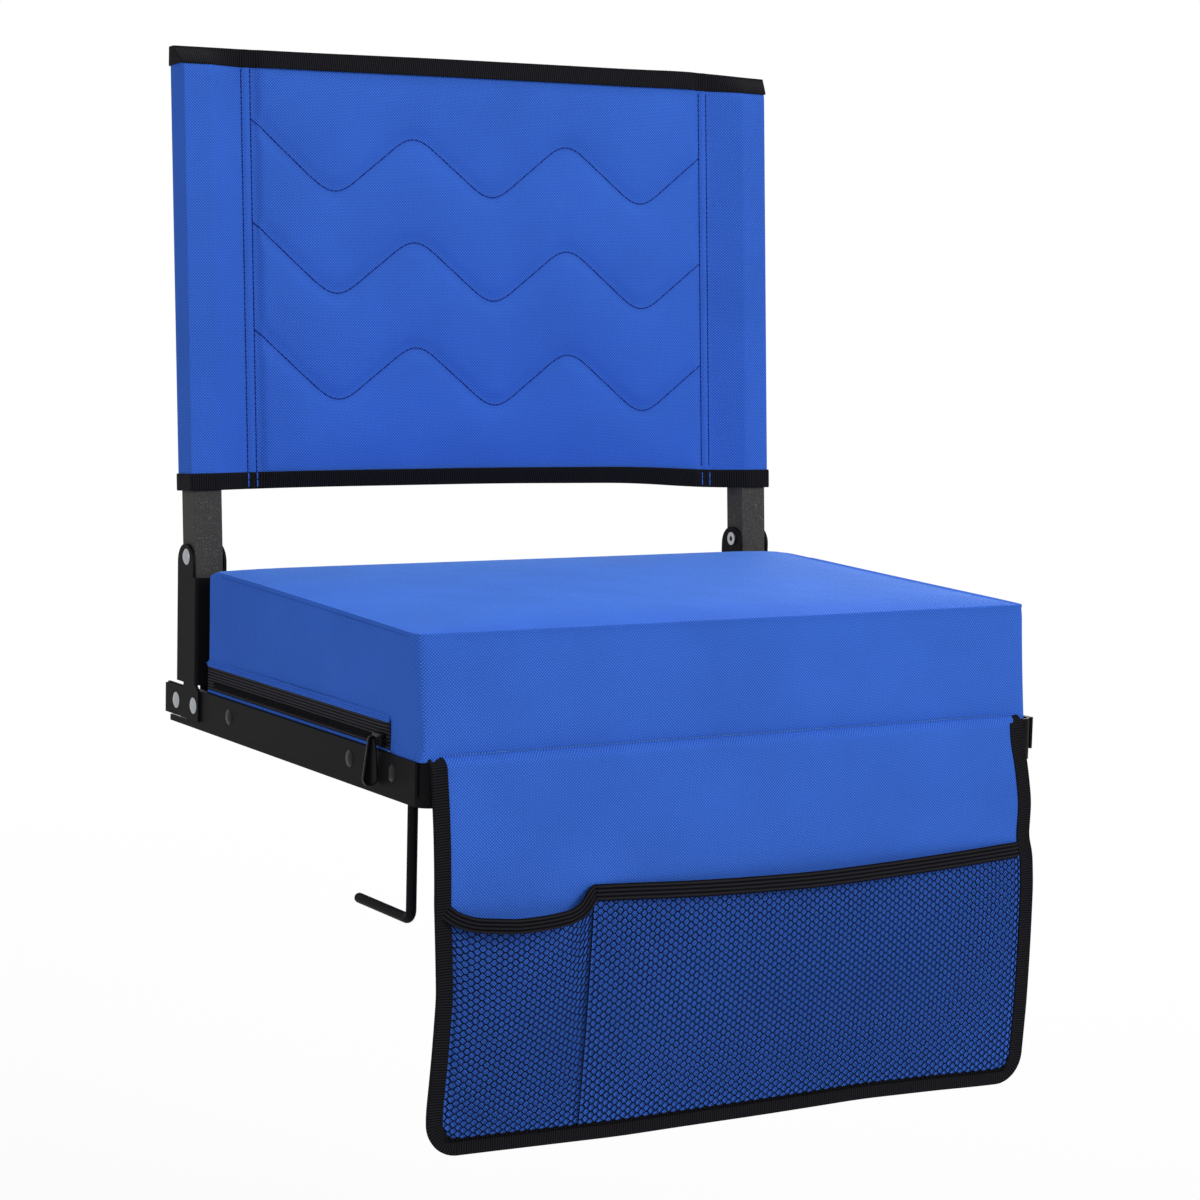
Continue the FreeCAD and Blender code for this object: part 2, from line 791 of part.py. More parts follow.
def back_binding(low, high, inside_high):
    """Tape bound round one edge of the back cover, following its sleeves."""
    band = back_form(binding_thickness, low, high)
    return leaned(band.cut(back_form(0.0, low, inside_high)))


def flap_outline(inset, y):
    """Front outline of the flap in the plane y: straight top, round lower corners."""
    side = flap_half_width - inset
    low = flap_low + inset
    r = flap_corner - inset
    c = r * (1 - 1 / sqrt(2))
    return Part.Face(Part.Wire([
        line(V(-side, y, flap_top), V(-side, y, low + r)),
        arc(V(-side, y, low + r), V(-side + c, y, low + c), V(-side + r, y, low)),
        line(V(-side + r, y, low), V(side - r, y, low)),
        arc(V(side - r, y, low), V(side - c, y, low + c), V(side, y, low + r)),
        line(V(side, y, low + r), V(side, y, flap_top)),
        line(V(side, y, flap_top), V(-side, y, flap_top)),
    ]))


def flap_sheet():
    """Cloth flap sewn to the lower front edge of the cushion."""
    return flap_outline(flap_fold, flap_front).extrude(V(0, flap_sheet_thickness, 0))


def flap_binding():
    """Tape folded round the flap's sides and lower edge."""
    start = flap_front - flap_fold
    whole = flap_outline(0.0, start).extrude(V(0, flap_binding_thickness, 0))
    window = flap_outline(flap_binding_width, start).extrude(V(0, flap_binding_thickness, 0))
    return whole.cut(window).cut(flap_sheet())


def pocket_mouth_arc(x0, x1, bow, z):
    """The bowed upper edge of a pocket."""
    return arc(V(x0, flap_front, z), V((x0 + x1) / 2, flap_front - bow, z), V(x1, flap_front, z))


def pocket_net(x0, x1, bow):
    """Net of one pocket: bowed at its mouth, flat on the flap at its foot."""
    foot = flap_low + flap_binding_width
    low_edge = line(V(x0, flap_front, foot), V(x1, flap_front, foot))
    high_edge = pocket_mouth_arc(x0, x1, bow, pocket_mouth)
    net = Part.makeRuledSurface(low_edge, high_edge).extrude(V(0, -pocket_net_thickness, 0))
    reach = bow + 2 * pocket_net_thickness
    inside_binding = flap_outline(flap_binding_width, flap_front - reach).extrude(V(0, reach, 0))
    return net.common(inside_binding)


def pocket_trim(x0, x1, bow):
    """Elastic along the mouth of one pocket."""
    edge = pocket_mouth_arc(x0, x1, bow, pocket_mouth)
    strip = edge.extrude(V(0, -pocket_trim_thickness, 0))
    return strip.extrude(V(0, 0, pocket_trim_height))


def pocket_spans():
    """Left and right pocket edges, between the bindings and on either side of the divider seam."""
    edge = flap_half_width - flap_binding_width
    gap = pocket_seam / 2
    return (-edge, pocket_divider - gap), (pocket_divider + gap, edge)


os.makedirs("parts", exist_ok=True)

save("front_rail", front_rail())
save("rear_rail", rear_rail())
save_pair("side_rail", side_rail())
save_pair("side_plate", side_plate())
save("front_strap", strap(front_strap_y, True))
save("rear_strap", strap(rear_strap_y, False))
save_pair("hook_clip", hook_clip())
save("plate_rivets", plate_rivets())
save("bracket_rivets", ear_rivets())
save_pair("hinge_bracket", hinge_bracket())
save_pair("hinge_rivet", hinge_rivet())
save_pair("hook", hook())

save("base_board", base_board())
save("board_screws", board_screws())
save("cushion_foam", cushion_foam())
save("cushion_cover", cushion_cover())
save("zipper_tape", zipper_tape())
save("zipper_coil", zipper_coil())
save("zipper_slider", zipper_slider())
save("zipper_pull", zipper_pull())

save_pair("post", post())
save("post_caps", cap_pair(True))
save("post_foot_plugs", cap_pair(False))
save("back_cover", back_cover())
save("back_foam", back_foam())
save("back_binding_top", back_binding(back_top - binding_width, back_top, cover_top))
low_band_top = back_bottom + binding_width
save("back_binding_bottom", back_binding(back_bottom, low_band_top, low_band_top))

left_span, right_span = pocket_spans()
save("flap_sheet", flap_sheet())
save("flap_binding", flap_binding())
save("pocket_net_left", pocket_net(left_span[0], left_span[1], left_pocket_bow))
save("pocket_net_right", pocket_net(right_span[0], right_span[1], right_pocket_bow))
save("pocket_trim_left", pocket_trim(left_span[0], left_span[1], left_pocket_bow))
save("pocket_trim_right", pocket_trim(right_span[0], right_span[1], right_pocket_bow))
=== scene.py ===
"""Folding stadium seat: cloth, net, webbing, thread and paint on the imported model, with its stage."""

import math

import bmesh
import bpy
from bpy.props import FloatProperty, FloatVectorProperty, PointerProperty
from mathutils import Matrix, Vector
from mathutils.bvhtree import BVHTree


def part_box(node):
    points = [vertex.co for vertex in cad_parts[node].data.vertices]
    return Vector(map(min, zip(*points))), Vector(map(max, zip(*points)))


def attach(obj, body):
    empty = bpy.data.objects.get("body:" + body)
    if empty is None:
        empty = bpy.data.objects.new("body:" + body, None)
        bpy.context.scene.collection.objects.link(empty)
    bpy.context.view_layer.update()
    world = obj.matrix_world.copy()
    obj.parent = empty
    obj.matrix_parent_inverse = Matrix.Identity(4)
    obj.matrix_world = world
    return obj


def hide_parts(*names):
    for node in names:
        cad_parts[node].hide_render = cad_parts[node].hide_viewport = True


bl_info = {
    "name": "Stadium Seat",
    "version": (1, 0, 0),
    "blender": (4, 5, 0),
    "location": "View3D > Sidebar > Seat",
    "description": "Dresses the packed folding stadium seat in cloth, net, webbing and paint",
    "category": "Object",
}

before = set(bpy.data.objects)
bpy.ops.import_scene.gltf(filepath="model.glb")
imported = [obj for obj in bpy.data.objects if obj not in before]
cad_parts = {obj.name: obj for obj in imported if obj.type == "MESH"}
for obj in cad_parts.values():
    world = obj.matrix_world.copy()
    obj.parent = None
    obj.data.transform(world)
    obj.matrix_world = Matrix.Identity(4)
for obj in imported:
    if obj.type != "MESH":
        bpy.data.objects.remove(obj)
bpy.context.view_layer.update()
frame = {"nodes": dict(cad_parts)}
MM = 0.001


def linear(code):
    """Linear colour of an sRGB hex code."""
    shares = [int(code[i:i + 2], 16) / 255 for i in (1, 3, 5)]
    return tuple(c / 12.92 if c <= 0.04045 else ((c + 0.055) / 1.055) ** 2.4 for c in shares)


def colour_property(name, description, code):
    """A colour that a user may change, given as an sRGB hex code."""
    return FloatVectorProperty(
        name=name, description=description, default=linear(code), subtype="COLOR", size=3, min=0.0, max=1.0
    )


def length_property(name, description, millimetres):
    """A length that a user may change."""
    return FloatProperty(
        name=name, description=description, default=millimetres * MM, min=0.0, unit="LENGTH", subtype="DISTANCE"
    )


class SeatCloth(bpy.types.PropertyGroup):
    """Cloth and thread of the cushion, the back cover and the flap."""

    blue: colour_property("Cloth", "Blue of the woven cloth", "#3663C4")
    weave: length_property("Weave", "Spacing of the weave's diagonal lines", 1.55)
    swell: length_property("Swell", "How far the foam may push the cushion's cloth out", 4.0)
    quilt: length_property("Quilt", "How far the back's padding may push its cloth out", 4.5)
    thread: colour_property("Thread", "Navy thread of the waves and seams", "#182878")
    bright_thread: colour_property("Bright thread", "Blue thread across the binding and along the zip", "#3F6FDA")
    stitch: length_property("Stitch", "Length of one stitch", 3.4)


class SeatTrim(bpy.types.PropertyGroup):
    """Webbing, elastic and net."""

    black: colour_property("Webbing", "Black of the binding tape and the elastic", "#0F0F12")
    rib: length_property("Rib", "Spacing of the ribs across the binding tape", 1.8)
    net: colour_property("Net", "Black of the pocket net", "#08080C")
    cell: length_property("Net cell", "Width of one cell of the pocket net", 7.3)
    strand: length_property("Net strand", "Thickness of one strand of the pocket net", 1.0)


class SeatPaint(bpy.types.PropertyGroup):
    """Paint and plating of the steel."""

    frame: colour_property("Frame", "Black powder coat of the frame", "#131315")
    # the posts' coat is painted lighter than the black frame coat, as painted highlight for the key light that
    # their fronts reflect; the specks are the coat's texture
    post_painted_light: colour_property("Posts", "Dark grey speckled powder coat of the posts", "#403F3D")
    zinc: colour_property("Zinc", "Plating of the hinge and bracket rivets", "#9FA2A6")


# Materials


def add(tree, kind, settings=None, links=None):
    """Adds one node, with its settings (properties or socket values) and the links into its sockets."""
    made = tree.nodes.new(kind)
    for key, value in (settings or {}).items():
        if isinstance(key, str) and hasattr(made, key):
            setattr(made, key, value)
        else:
            made.inputs[key].default_value = value
    for key, source in (links or {}).items():
        tree.links.new(source, made.inputs[key])
    return made


def empty_tree(owner):
    """Node tree of a material or a world, with nothing in it."""
    owner.use_nodes = True
    owner.node_tree.nodes.clear()
    return owner.node_tree


def new_material(name, settings):
    """An empty node material with its Principled shader."""
    made = bpy.data.materials.new(name)
    tree = empty_tree(made)
    shader = add(tree, "ShaderNodeBsdfPrincipled", settings)
    add(tree, "ShaderNodeOutputMaterial", links={"Surface": shader.outputs[0]})
    return made, tree, shader


def bands(pitch):
    """Scale of a Wave texture whose bands repeat at a pitch in metres."""
    return math.pi / 10 / pitch


def shade(colour, share):
    """A colour made darker or lighter by a share, as a socket value."""
    return tuple(min(1.0, c * share) for c in colour) + (1.0,)


def mottled(name, settings, scale, detail, dark, light):
    """A node material whose colour runs between two shades with a noise on its surface, and that noise."""
    made, tree, shader = new_material(name, settings)
    place = add(tree, "ShaderNodeTexCoord")
    noise = add(tree, "ShaderNodeTexNoise", {"Scale": scale, "Detail": detail}, {"Vector": place.outputs["Object"]})
    tone = add(tree, "ShaderNodeMix", {"data_type": "RGBA", 6: dark, 7: light}, {0: noise.outputs["Fac"]})
    tree.links.new(tone.outputs[2], shader.inputs["Base Color"])
    return made, tree, shader, noise


WEAVE_TURN = math.radians(44)


def oxford_cloth(name, colour, pitch):
    """Coated polyester oxford: dull, with a fine diagonal weave and a pale blue sheen at grazing angles.

    The real threads are about 0.5 mm apart, too fine to show, so the weave is drawn coarser.
    """
    made, tree, shader = new_material(
        name,
        {
            "Roughness": 0.85, "Specular IOR Level": 0.05, "Sheen Weight": 0.36, "Sheen Roughness": 0.17,
            "Sheen Tint": linear("#A8F0FF") + (1,),
        },
    )
    cloth = add(tree, "ShaderNodeUVMap", {"uv_map": "cloth"})
    turned = add(tree, "ShaderNodeMapping", {"Rotation": (0, 0, WEAVE_TURN)}, {"Vector": cloth.outputs[0]})
    threads = []
    for way in "XY":
        settings = {"bands_direction": way, "Scale": bands(pitch), "Distortion": 0.3, "Detail": 1.0}
        threads.append(add(tree, "ShaderNodeTexWave", settings, {"Vector": turned.outputs[0]}))
    weave = add(
        tree, "ShaderNodeMath", {"operation": "MULTIPLY"},
        {i: thread.outputs["Fac"] for i, thread in enumerate(threads)},
    )
    place = add(tree, "ShaderNodeTexCoord")
    cloudy = add(tree, "ShaderNodeTexNoise", {"Scale": 14.0, "Detail": 3.0}, {"Vector": place.outputs["Object"]})
    tone = add(
        tree, "ShaderNodeMapRange", {"From Min": 0.3, "From Max": 0.7, "To Min": 0.94, "To Max": 1.05},
        {"Value": cloudy.outputs["Fac"]},
    )
    # a quarter of the weave stands up on average, so the mean of these two is the cloth's own colour
    yarn = add(
        tree, "ShaderNodeMix", {"data_type": "RGBA", 6: shade(colour, 0.72), 7: shade(colour, 1.84)},
        {0: weave.outputs[0]},
    )
    toned = add(
        tree, "ShaderNodeVectorMath", {"operation": "SCALE"}, {0: yarn.outputs[2], "Scale": tone.outputs[0]}
    )
    tree.links.new(toned.outputs[0], shader.inputs["Base Color"])
    slack = add(tree, "ShaderNodeTexNoise", {"Scale": 26.0, "Detail": 2.0}, {"Vector": place.outputs["Object"]})
    soft = add(tree, "ShaderNodeBump", {"Strength": 0.2, "Distance": 2 * MM}, {"Height": slack.outputs["Fac"]})
    fine = add(
        tree, "ShaderNodeBump", {"Strength": 0.5, "Distance": 0.25 * MM},
        {"Height": weave.outputs[0], "Normal": soft.outputs[0]},
    )
    tree.links.new(fine.outputs[0], shader.inputs["Normal"])
    return made


def ribbed_webbing(name, colour, pitch, along, phase=0.0, rib_top_highlight=3.0):
    """Woven tape or elastic: black yarn in ribs across or along it, their tops lighter by a share as a painted
    highlight where light catches the ribs.
    """
    made, tree, shader = new_material(name, {"Roughness": 0.65, "Specular IOR Level": 0.03})
    tape = add(tree, "ShaderNodeUVMap", {"uv_map": "cloth"})
    settings = {
        "bands_direction": "Y" if along else "X", "Scale": bands(pitch), "Phase Offset": phase,
        "Distortion": 0.8, "Detail": 2.0,
    }
    ribs = add(tree, "ShaderNodeTexWave", settings, {"Vector": tape.outputs[0]})
    # the dark shade is the yarn's own black; the light shade on the ribs' tops is painted highlight
    yarn = add(
        tree, "ShaderNodeMix", {"data_type": "RGBA", 6: shade(colour, 0.4), 7: shade(colour, rib_top_highlight)},
        {0: ribs.outputs["Fac"]},
    )
    tree.links.new(yarn.outputs[2], shader.inputs["Base Color"])
    bump = add(tree, "ShaderNodeBump", {"Strength": 0.7, "Distance": 0.4 * MM}, {"Height": ribs.outputs["Fac"]})
    tree.links.new(bump.outputs[0], shader.inputs["Normal"])
    return made


def twisted_thread(name, colour):
    """Sewing thread or net yarn: matt, a little lighter where the twist stands up."""
    settings = {"Roughness": 0.75, "Specular IOR Level": 0.05}
    return mottled(name, settings, 900.0, 1.0, shade(colour, 0.7), shade(colour, 1.3))[0]


def powder_coat(name, colour, grain, speckle, roughness, gloss):
    """Baked powder coat on steel: fine orange peel, small pale specks where it is textured, soft bright edges."""
    made, tree, shader = new_material(name, {"Specular IOR Level": gloss})
    place = add(tree, "ShaderNodeTexCoord")
    peel = add(tree, "ShaderNodeTexNoise", {"Scale": 1 / grain, "Detail": 3.0}, {"Vector": place.outputs["Object"]})
    specks = add(
        tree, "ShaderNodeMapRange", {"From Min": 0.56, "From Max": 0.68}, {"Value": peel.outputs["Fac"]}
    )
    tone = add(
        tree, "ShaderNodeMix", {"data_type": "RGBA", 6: shade(colour, 1.0), 7: shade(colour, 1.0 + speckle)},
        {0: specks.outputs[0]},
    )
    tree.links.new(tone.outputs[2], shader.inputs["Base Color"])
    worn = add(
        tree, "ShaderNodeMapRange", {"To Min": roughness - 0.08, "To Max": roughness + 0.1},
        {"Value": peel.outputs["Fac"]},
    )
    tree.links.new(worn.outputs[0], shader.inputs["Roughness"])
    edge = add(tree, "ShaderNodeBevel", {"samples": 4, "Radius": 0.7 * MM})
    bump = add(
        tree, "ShaderNodeBump", {"Strength": 0.35, "Distance": 0.2 * MM},
        {"Height": peel.outputs["Fac"], "Normal": edge.outputs[0]},
    )
    tree.links.new(bump.outputs[0], shader.inputs["Normal"])
    return made


def plated_steel(name, colour):
    """Zinc-plated steel rivet: bright, with the faint mottling of pressed heads."""
    made, tree, shader, mottle = mottled(
        name, {"Metallic": 1.0}, 420.0, 3.0, shade(colour, 0.82), shade(colour, 1.08)
    )
    dull = add(tree, "ShaderNodeMapRange", {"To Min": 0.24, "To Max": 0.46}, {"Value": mottle.outputs["Fac"]})
    tree.links.new(dull.outputs[0], shader.inputs["Roughness"])
    return made


def moulded_plastic(name, colour):
    """Black moulded polypropylene: satin, with a fine spark-eroded grain."""
    settings = {"Roughness": 0.5, "IOR": 1.49, "Specular IOR Level": 0.12}
    made, tree, shader, grain = mottled(name, settings, 1500.0, 2.0, shade(colour, 0.9), shade(colour, 1.2))
    bump = add(tree, "ShaderNodeBump", {"Strength": 0.2, "Distance": 0.1 * MM}, {"Height": grain.outputs["Fac"]})
    tree.links.new(bump.outputs[0], shader.inputs["Normal"])
    return made


def birch_plywood(name):
    """Raw plywood seat board: pale face veneer with long grain along the seat's width."""
    made, tree, shader = new_material(name, {"Roughness": 0.65})
    place = add(tree, "ShaderNodeTexCoord")
    drawn = add(tree, "ShaderNodeMapping", {"Scale": (6.0, 120.0, 400.0)}, {"Vector": place.outputs["Object"]})
    grain = add(tree, "ShaderNodeTexNoise", {"Scale": 1.0, "Detail": 6.0}, {"Vector": drawn.outputs[0]})
    tone = add(
        tree, "ShaderNodeMix", {"data_type": "RGBA", 6: linear("#9C7B52") + (1,), 7: linear("#D2B587") + (1,)},
        {0: grain.outputs["Fac"]},
    )
    tree.links.new(tone.outputs[2], shader.inputs["Base Color"])
    return made


def material(name):
    """The material of that name, made the first time that it is asked for."""
    scene = bpy.context.scene
    cloth, trim, paint = scene.seat_cloth, scene.seat_trim, scene.seat_paint
    make, *values = {
        "blue_oxford_cloth": (oxford_cloth, cloth.blue, cloth.weave),
        "black_binding_tape": (ribbed_webbing, trim.black, trim.rib, False),
        # one band for each rib or ridge of the section, with its middle on the rib's top, so that the painted
        # highlight lies on the tops
        "black_ribbed_elastic": (ribbed_webbing, trim.black, 3.5 * MM, True, -2.45, 3.6),
        "black_zip_tape": (ribbed_webbing, trim.black, 2.6 * MM, True, -1.45, 9.0),
        "black_net_yarn": (twisted_thread, trim.net),
        "cloth_blue_thread": (twisted_thread, shade(cloth.blue, 0.8)[:3]),
        "navy_thread": (twisted_thread, cloth.thread),
        "bright_blue_thread": (twisted_thread, cloth.bright_thread),
        "black_thread": (twisted_thread, linear("#151518")),
        "black_powder_coat": (powder_coat, paint.frame, 0.9 * MM, 0.5, 0.45, 0.025),
        # lighter than the frame's black coat: painted highlight for the light that the posts' fronts reflect
        "speckled_grey_powder_coat": (powder_coat, paint.post_painted_light, 0.8 * MM, 1.6, 0.5, 0.03),
        "black_lacquered_rivet": (powder_coat, linear("#141416"), 1.4 * MM, 0.3, 0.32, 0.14),
        "zinc_plated_steel": (plated_steel, paint.zinc),
        "black_moulded_plastic": (moulded_plastic, linear("#1C1C1F")),
        "birch_plywood_board": (birch_plywood,),
    }[name]
    return bpy.data.materials.get(name) or make(name, *values)


# Shapes


def between(value, stops):
    """The value that straight runs through (place, value) stops give at a place."""
    for (a, low), (b, high) in zip(stops, stops[1:]):
        if value <= b:
            share = (value - a) / (b - a) if b > a else 0.0
            return low + (high - low) * max(0.0, share)
    return stops[-1][1]


def softened(value, stops, reach):
    """The straight runs through stops, with their corners rounded over a reach."""
    places = [value + reach * i / 3 for i in range(-3, 4)]
    return sum(between(place, stops) for place in places) / len(places)


def in_mm(*stops):
    """Stops that are written in millimetres, as metres."""
    return [(place * MM, value * MM) for place, value in stops]


def fine_ends(length, near, cells):
    """Shares from 0 to 1 along a length, whose first and last places are at near distances from its ends."""
    first = [distance / length for distance in near]
    step = (1 - 2 * first[-1]) / cells
    return first + [first[-1] + step * i for i in range(1, cells)] + [1 - share for share in reversed(first)]


def spread(stops):
    """Places along an edge, from a first place and then (next place, number of cells) pairs."""
    places = [stops[0]]
    for end, cells in stops[1:]:
        start = places[-1]
        places += [start + (end - start) * (i + 1) / cells for i in range(cells)]
    return places


def lattice_box(cells):
    """A unit cube whose faces are cut into a lattice, with a number of cells along x, y and z."""
    bm = bmesh.new()
    bmesh.ops.create_cube(bm, size=1.0)
    for axis in range(3):
        edges = [e for e in bm.edges if abs(e.verts[0].co[axis] - e.verts[1].co[axis]) > 0.5]
        bmesh.ops.subdivide_edges(bm, edges=edges, cuts=cells[axis] - 1, use_grid_fill=True)
    return bm


def lattice_sheet(across, along):
    """A flat unit lattice from 0 to 1 in x and y."""
    bm = bmesh.new()
    bmesh.ops.create_grid(bm, x_segments=across, y_segments=along, size=0.5)
    bmesh.ops.translate(bm, verts=bm.verts, vec=(0.5, 0.5, 0.0))
    return bm


def cloth_uv(bm, leaning=(1.0, 1.0, 1.0)):
    """Lays the cloth's own coordinates, in metres, on every face from the side that it faces, with a leaning."""
    bm.normal_update()
    layer = bm.loops.layers.uv.get("cloth") or bm.loops.layers.uv.new("cloth")
    for face in bm.faces:
        sizes = [abs(c) * share for c, share in zip(face.normal, leaning)]
        a, b = ((1, 2), (0, 2), (0, 1))[sizes.index(max(sizes))]
        for loop in face.loops:
            loop[layer].uv = (loop.vert.co[a], loop.vert.co[b])


def round_edge(first, second, radius):
    """Two distances inwards from two faces, with the edge between those faces rounded in nested arcs."""
    inner = min(first, second)
    first, second, radius = first - inner, second - inner, radius - inner
    if radius <= 0 or max(first, second) >= radius:
        return first + inner, second + inner
    turn = (radius - second if second >= first else radius + first) / (2 * radius) * math.pi / 2
    return radius * (1 - math.cos(turn)) + inner, radius * (1 - math.sin(turn)) + inner


def band(path, section):
    """A closed section, as (sideways, outwards) points, swept along (point, sideways, outwards) places."""
    ring = section + section[:1]
    bm = lattice_sheet(len(path) - 1, len(ring) - 1)
    layer = bm.loops.layers.uv.new("cloth")
    run, round_it = [0.0], [0.0]
    for a, b in zip(path, path[1:]):
        run.append(run[-1] + (b[0] - a[0]).length)
    for a, b in zip(ring, ring[1:]):
        round_it.append(round_it[-1] + math.dist(a, b))
    for v in bm.verts:
        i, j = round(v.co.x * (len(path) - 1)), round(v.co.y * (len(ring) - 1))
        point, side, out = path[i]
        v.co = point + side * ring[j][0] + out * ring[j][1]
        for loop in v.link_loops:
            loop[layer].uv = (run[i], round_it[j])
    bmesh.ops.remove_doubles(bm, verts=bm.verts, dist=1e-6)
    ends = [e for e in bm.edges if e.is_boundary]
    bmesh.ops.holes_fill(bm, edges=ends, sides=0)
    bmesh.ops.recalc_face_normals(bm, faces=bm.faces)
    return bm


def tape_section(width, thick):
    """Section of a flat tape with raised, rounded edges."""
    w, t = width / 2, thick / 2
    half = [(-w, 0.0), (-w * 0.97, t * 0.9), (-w * 0.86, t), (-w * 0.72, t * 0.75), (0.0, t * 0.72)]
    top = half + [(-x, y) for x, y in reversed(half[:-1])]
    return top + [(x, -y) for x, y in reversed(top[1:-1])]


def linked(name, data):
    """A new object in the scene."""
    made = bpy.data.objects.new(name, data)
    bpy.context.scene.collection.objects.link(made)
    return made


def mesh_piece(mesh, name, made_of, body, nodes=()):
    """Turns a finished mesh into a smooth piece that rides on a body, in place of CAD nodes."""
    for face in mesh.polygons:
        face.use_smooth = True
    mesh.materials.clear()
    mesh.materials.append(material(made_of))
    made = linked(name, mesh)
    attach(made, body)
    if nodes:
        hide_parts(*nodes)
    return made


def to_object(bm, name, made_of, body, nodes=()):
    """Turns a finished bmesh into a piece."""
    mesh = bpy.data.meshes.new(name)
    bm.to_mesh(mesh)
    bm.free()
    return mesh_piece(mesh, name, made_of, body, nodes)


def modify(piece, kind, **settings):
    """Adds one modifier with its settings."""
    made = piece.modifiers.new(kind.lower(), kind)
    for key, value in settings.items():
        setattr(made, key, value)
    return made


def smooth_levels(piece, levels):
    modify(piece, "SUBSURF", levels=levels, render_levels=levels)


SWELL_PRESSURE = 3.0
SWELL_FRAMES = 20


def swell(piece, held, cap):
    """Lets air pressure push the cloth out between its held points, and limits how far each point goes."""
    start = [v.co.copy() for v in piece.data.vertices]
    group = piece.vertex_groups.new(name="held")
    group.add(held, 1.0, "REPLACE")
    cloth = piece.modifiers.new("swell", "CLOTH")
    cloth.settings.vertex_group_mass = group.name
    cloth.settings.use_pressure = True
    cloth.settings.uniform_pressure_force = SWELL_PRESSURE
    cloth.settings.effector_weights.gravity = 0.0
    cloth.settings.quality = 4
    cloth.point_cache.frame_end = SWELL_FRAMES
    scene = bpy.context.scene
    for number in range(1, SWELL_FRAMES + 1):
        scene.frame_set(number)
    swollen = piece.evaluated_get(bpy.context.evaluated_depsgraph_get())
    places = [v.co.copy() for v in swollen.data.vertices]
    piece.modifiers.remove(cloth)
    piece.vertex_groups.remove(group)
    scene.frame_set(1)
    for vertex, before, after in zip(piece.data.vertices, start, places):
        moved = after - before
        if moved.length > 1e-7:
            vertex.co = before + moved.normalized() * cap * math.tanh(moved.length / cap)
    piece.data.update()


def surface_of(piece):
    """Search tree of a piece's finished surface."""
    return BVHTree.FromObject(piece, bpy.context.evaluated_depsgraph_get())


def on_surface(tree, point, direction):
    """Where a line from outside first meets a surface, or the point itself if it misses."""
    hit = tree.ray_cast(point, direction)
    return hit[0] if hit[0] else point


def thread_mesh(name, runs, thick):
    """Mesh of four-sided bars along runs of points."""
    curve = bpy.data.curves.new(name, "CURVE")
    curve.dimensions = "3D"
    curve.bevel_depth = thick / 2
    curve.bevel_resolution = 0
    curve.use_fill_caps = True
    for run in runs:
        spline = curve.splines.new("POLY")
        spline.points.add(len(run) - 1)
        for point, place in zip(spline.points, run):
            point.co = (*place, 1.0)
    holder = bpy.data.objects.new(name, curve)
    mesh = bpy.data.meshes.new_from_object(holder)
    bpy.data.objects.remove(holder)
    bpy.data.curves.remove(curve)
    return mesh


def stitches(rows, length, gap, rise):
    """Cuts rows of (point, outwards) places into stitches that stand up a little in the middle."""
    runs = []
    for row in rows:
        run = [0.0]
        for a, b in zip(row, row[1:]):
            run.append(run[-1] + (b[0] - a[0]).length)

        def at(distance):
            for i in range(len(row) - 1):
                if distance <= run[i + 1] or i == len(row) - 2:
                    share = (distance - run[i]) / max(run[i + 1] - run[i], 1e-9)
                    return row[i][0].lerp(row[i + 1][0], share), row[i][1]

        count = max(1, int((run[-1] + gap) / (length + gap)))
        pitch = run[-1] / count
        for i in range(count):
            low = i * pitch + gap / 2
            high = (i + 1) * pitch - gap / 2
            places = []
            for share, lift in ((0.0, -0.35), (0.2, 0.6), (0.5, 1.0), (0.8, 0.6), (1.0, -0.35)):
                point, out = at(low + (high - low) * share)
                places.append(point + out * rise * lift)
            runs.append(places)
    return runs


def thread_piece(name, runs, thick, made_of, body, nodes=(), lean=None):
    """A piece made of threads."""
    mesh = thread_mesh(name, runs, thick)
    if lean:
        mesh.transform(lean)
    return mesh_piece(mesh, name, made_of, body, nodes)


# Steel frame and other rigid nodes


class SEAT_OT_steel(bpy.types.Operator):
    """Paint the frame, brackets, posts and hooks, plate the rivets and finish the board and plugs"""

    bl_idname = "seat.steel"
    bl_label = "Steel and board"

    def execute(self, context):
        finishes = {
            "black_powder_coat": ["front_rail", "rear_rail", "front_strap", "rear_strap"] + [
                name + side for name in ("side_rail", "side_plate", "hook_clip", "hinge_bracket", "hook")
                for side in ("_left", "_right")
            ],
            "speckled_grey_powder_coat": ("post_left", "post_right"),
            "zinc_plated_steel": ("bracket_rivets", "hinge_rivet_left", "hinge_rivet_right", "board_screws"),
            "black_lacquered_rivet": ("plate_rivets", "zipper_slider"),
            "black_moulded_plastic": ("post_caps", "post_foot_plugs"),
            "birch_plywood_board": ("base_board",),
        }
        for finish, names in finishes.items():
            for name in names:
                node = frame["nodes"][name]
                if not node.material_slots:
                    node.data.materials.append(material(finish))
                for holder in node.material_slots:
                    holder.material = material(finish)
        return {"FINISHED"}


# Cushion

CUSHION_HALF = 249.8 * MM
CUSHION_LOW = 30 * MM
CUSHION_FRONT = -395.5 * MM
CUSHION_LEAN = 13 * MM
CUSHION_REAR = -52.8 * MM
CUSHION_TOP_FRONT = 111.5 * MM
CUSHION_TOP_REAR = 120.8 * MM
CUSHION_CROWN = 2 * MM
CUSHION_CORNER = 4 * MM
CUSHION_SOFT_CORNER = 9 * MM
CUSHION_REAR_ROUND = 13 * MM
CUSHION_PULL_IN = 1.2 * MM
CUSHION_TAPER = 6.6 * MM
CUSHION_TAPER_UP = 0.77
CUSHION_TAPER_RUN = 50 * MM
CUSHION_SHOULDER = 7 * MM
CUSHION_HEM = 2.8 * MM
CUSHION_HEM_HIGH = 12 * MM
CUSHION_TUCK = 4 * MM
CUSHION_HEM_RUN = 8 * MM
CUSHION_HEM_START = 0.4
CUSHION_TUCK_RUN = 16 * MM
CUSHION_TUCK_END = 0.1
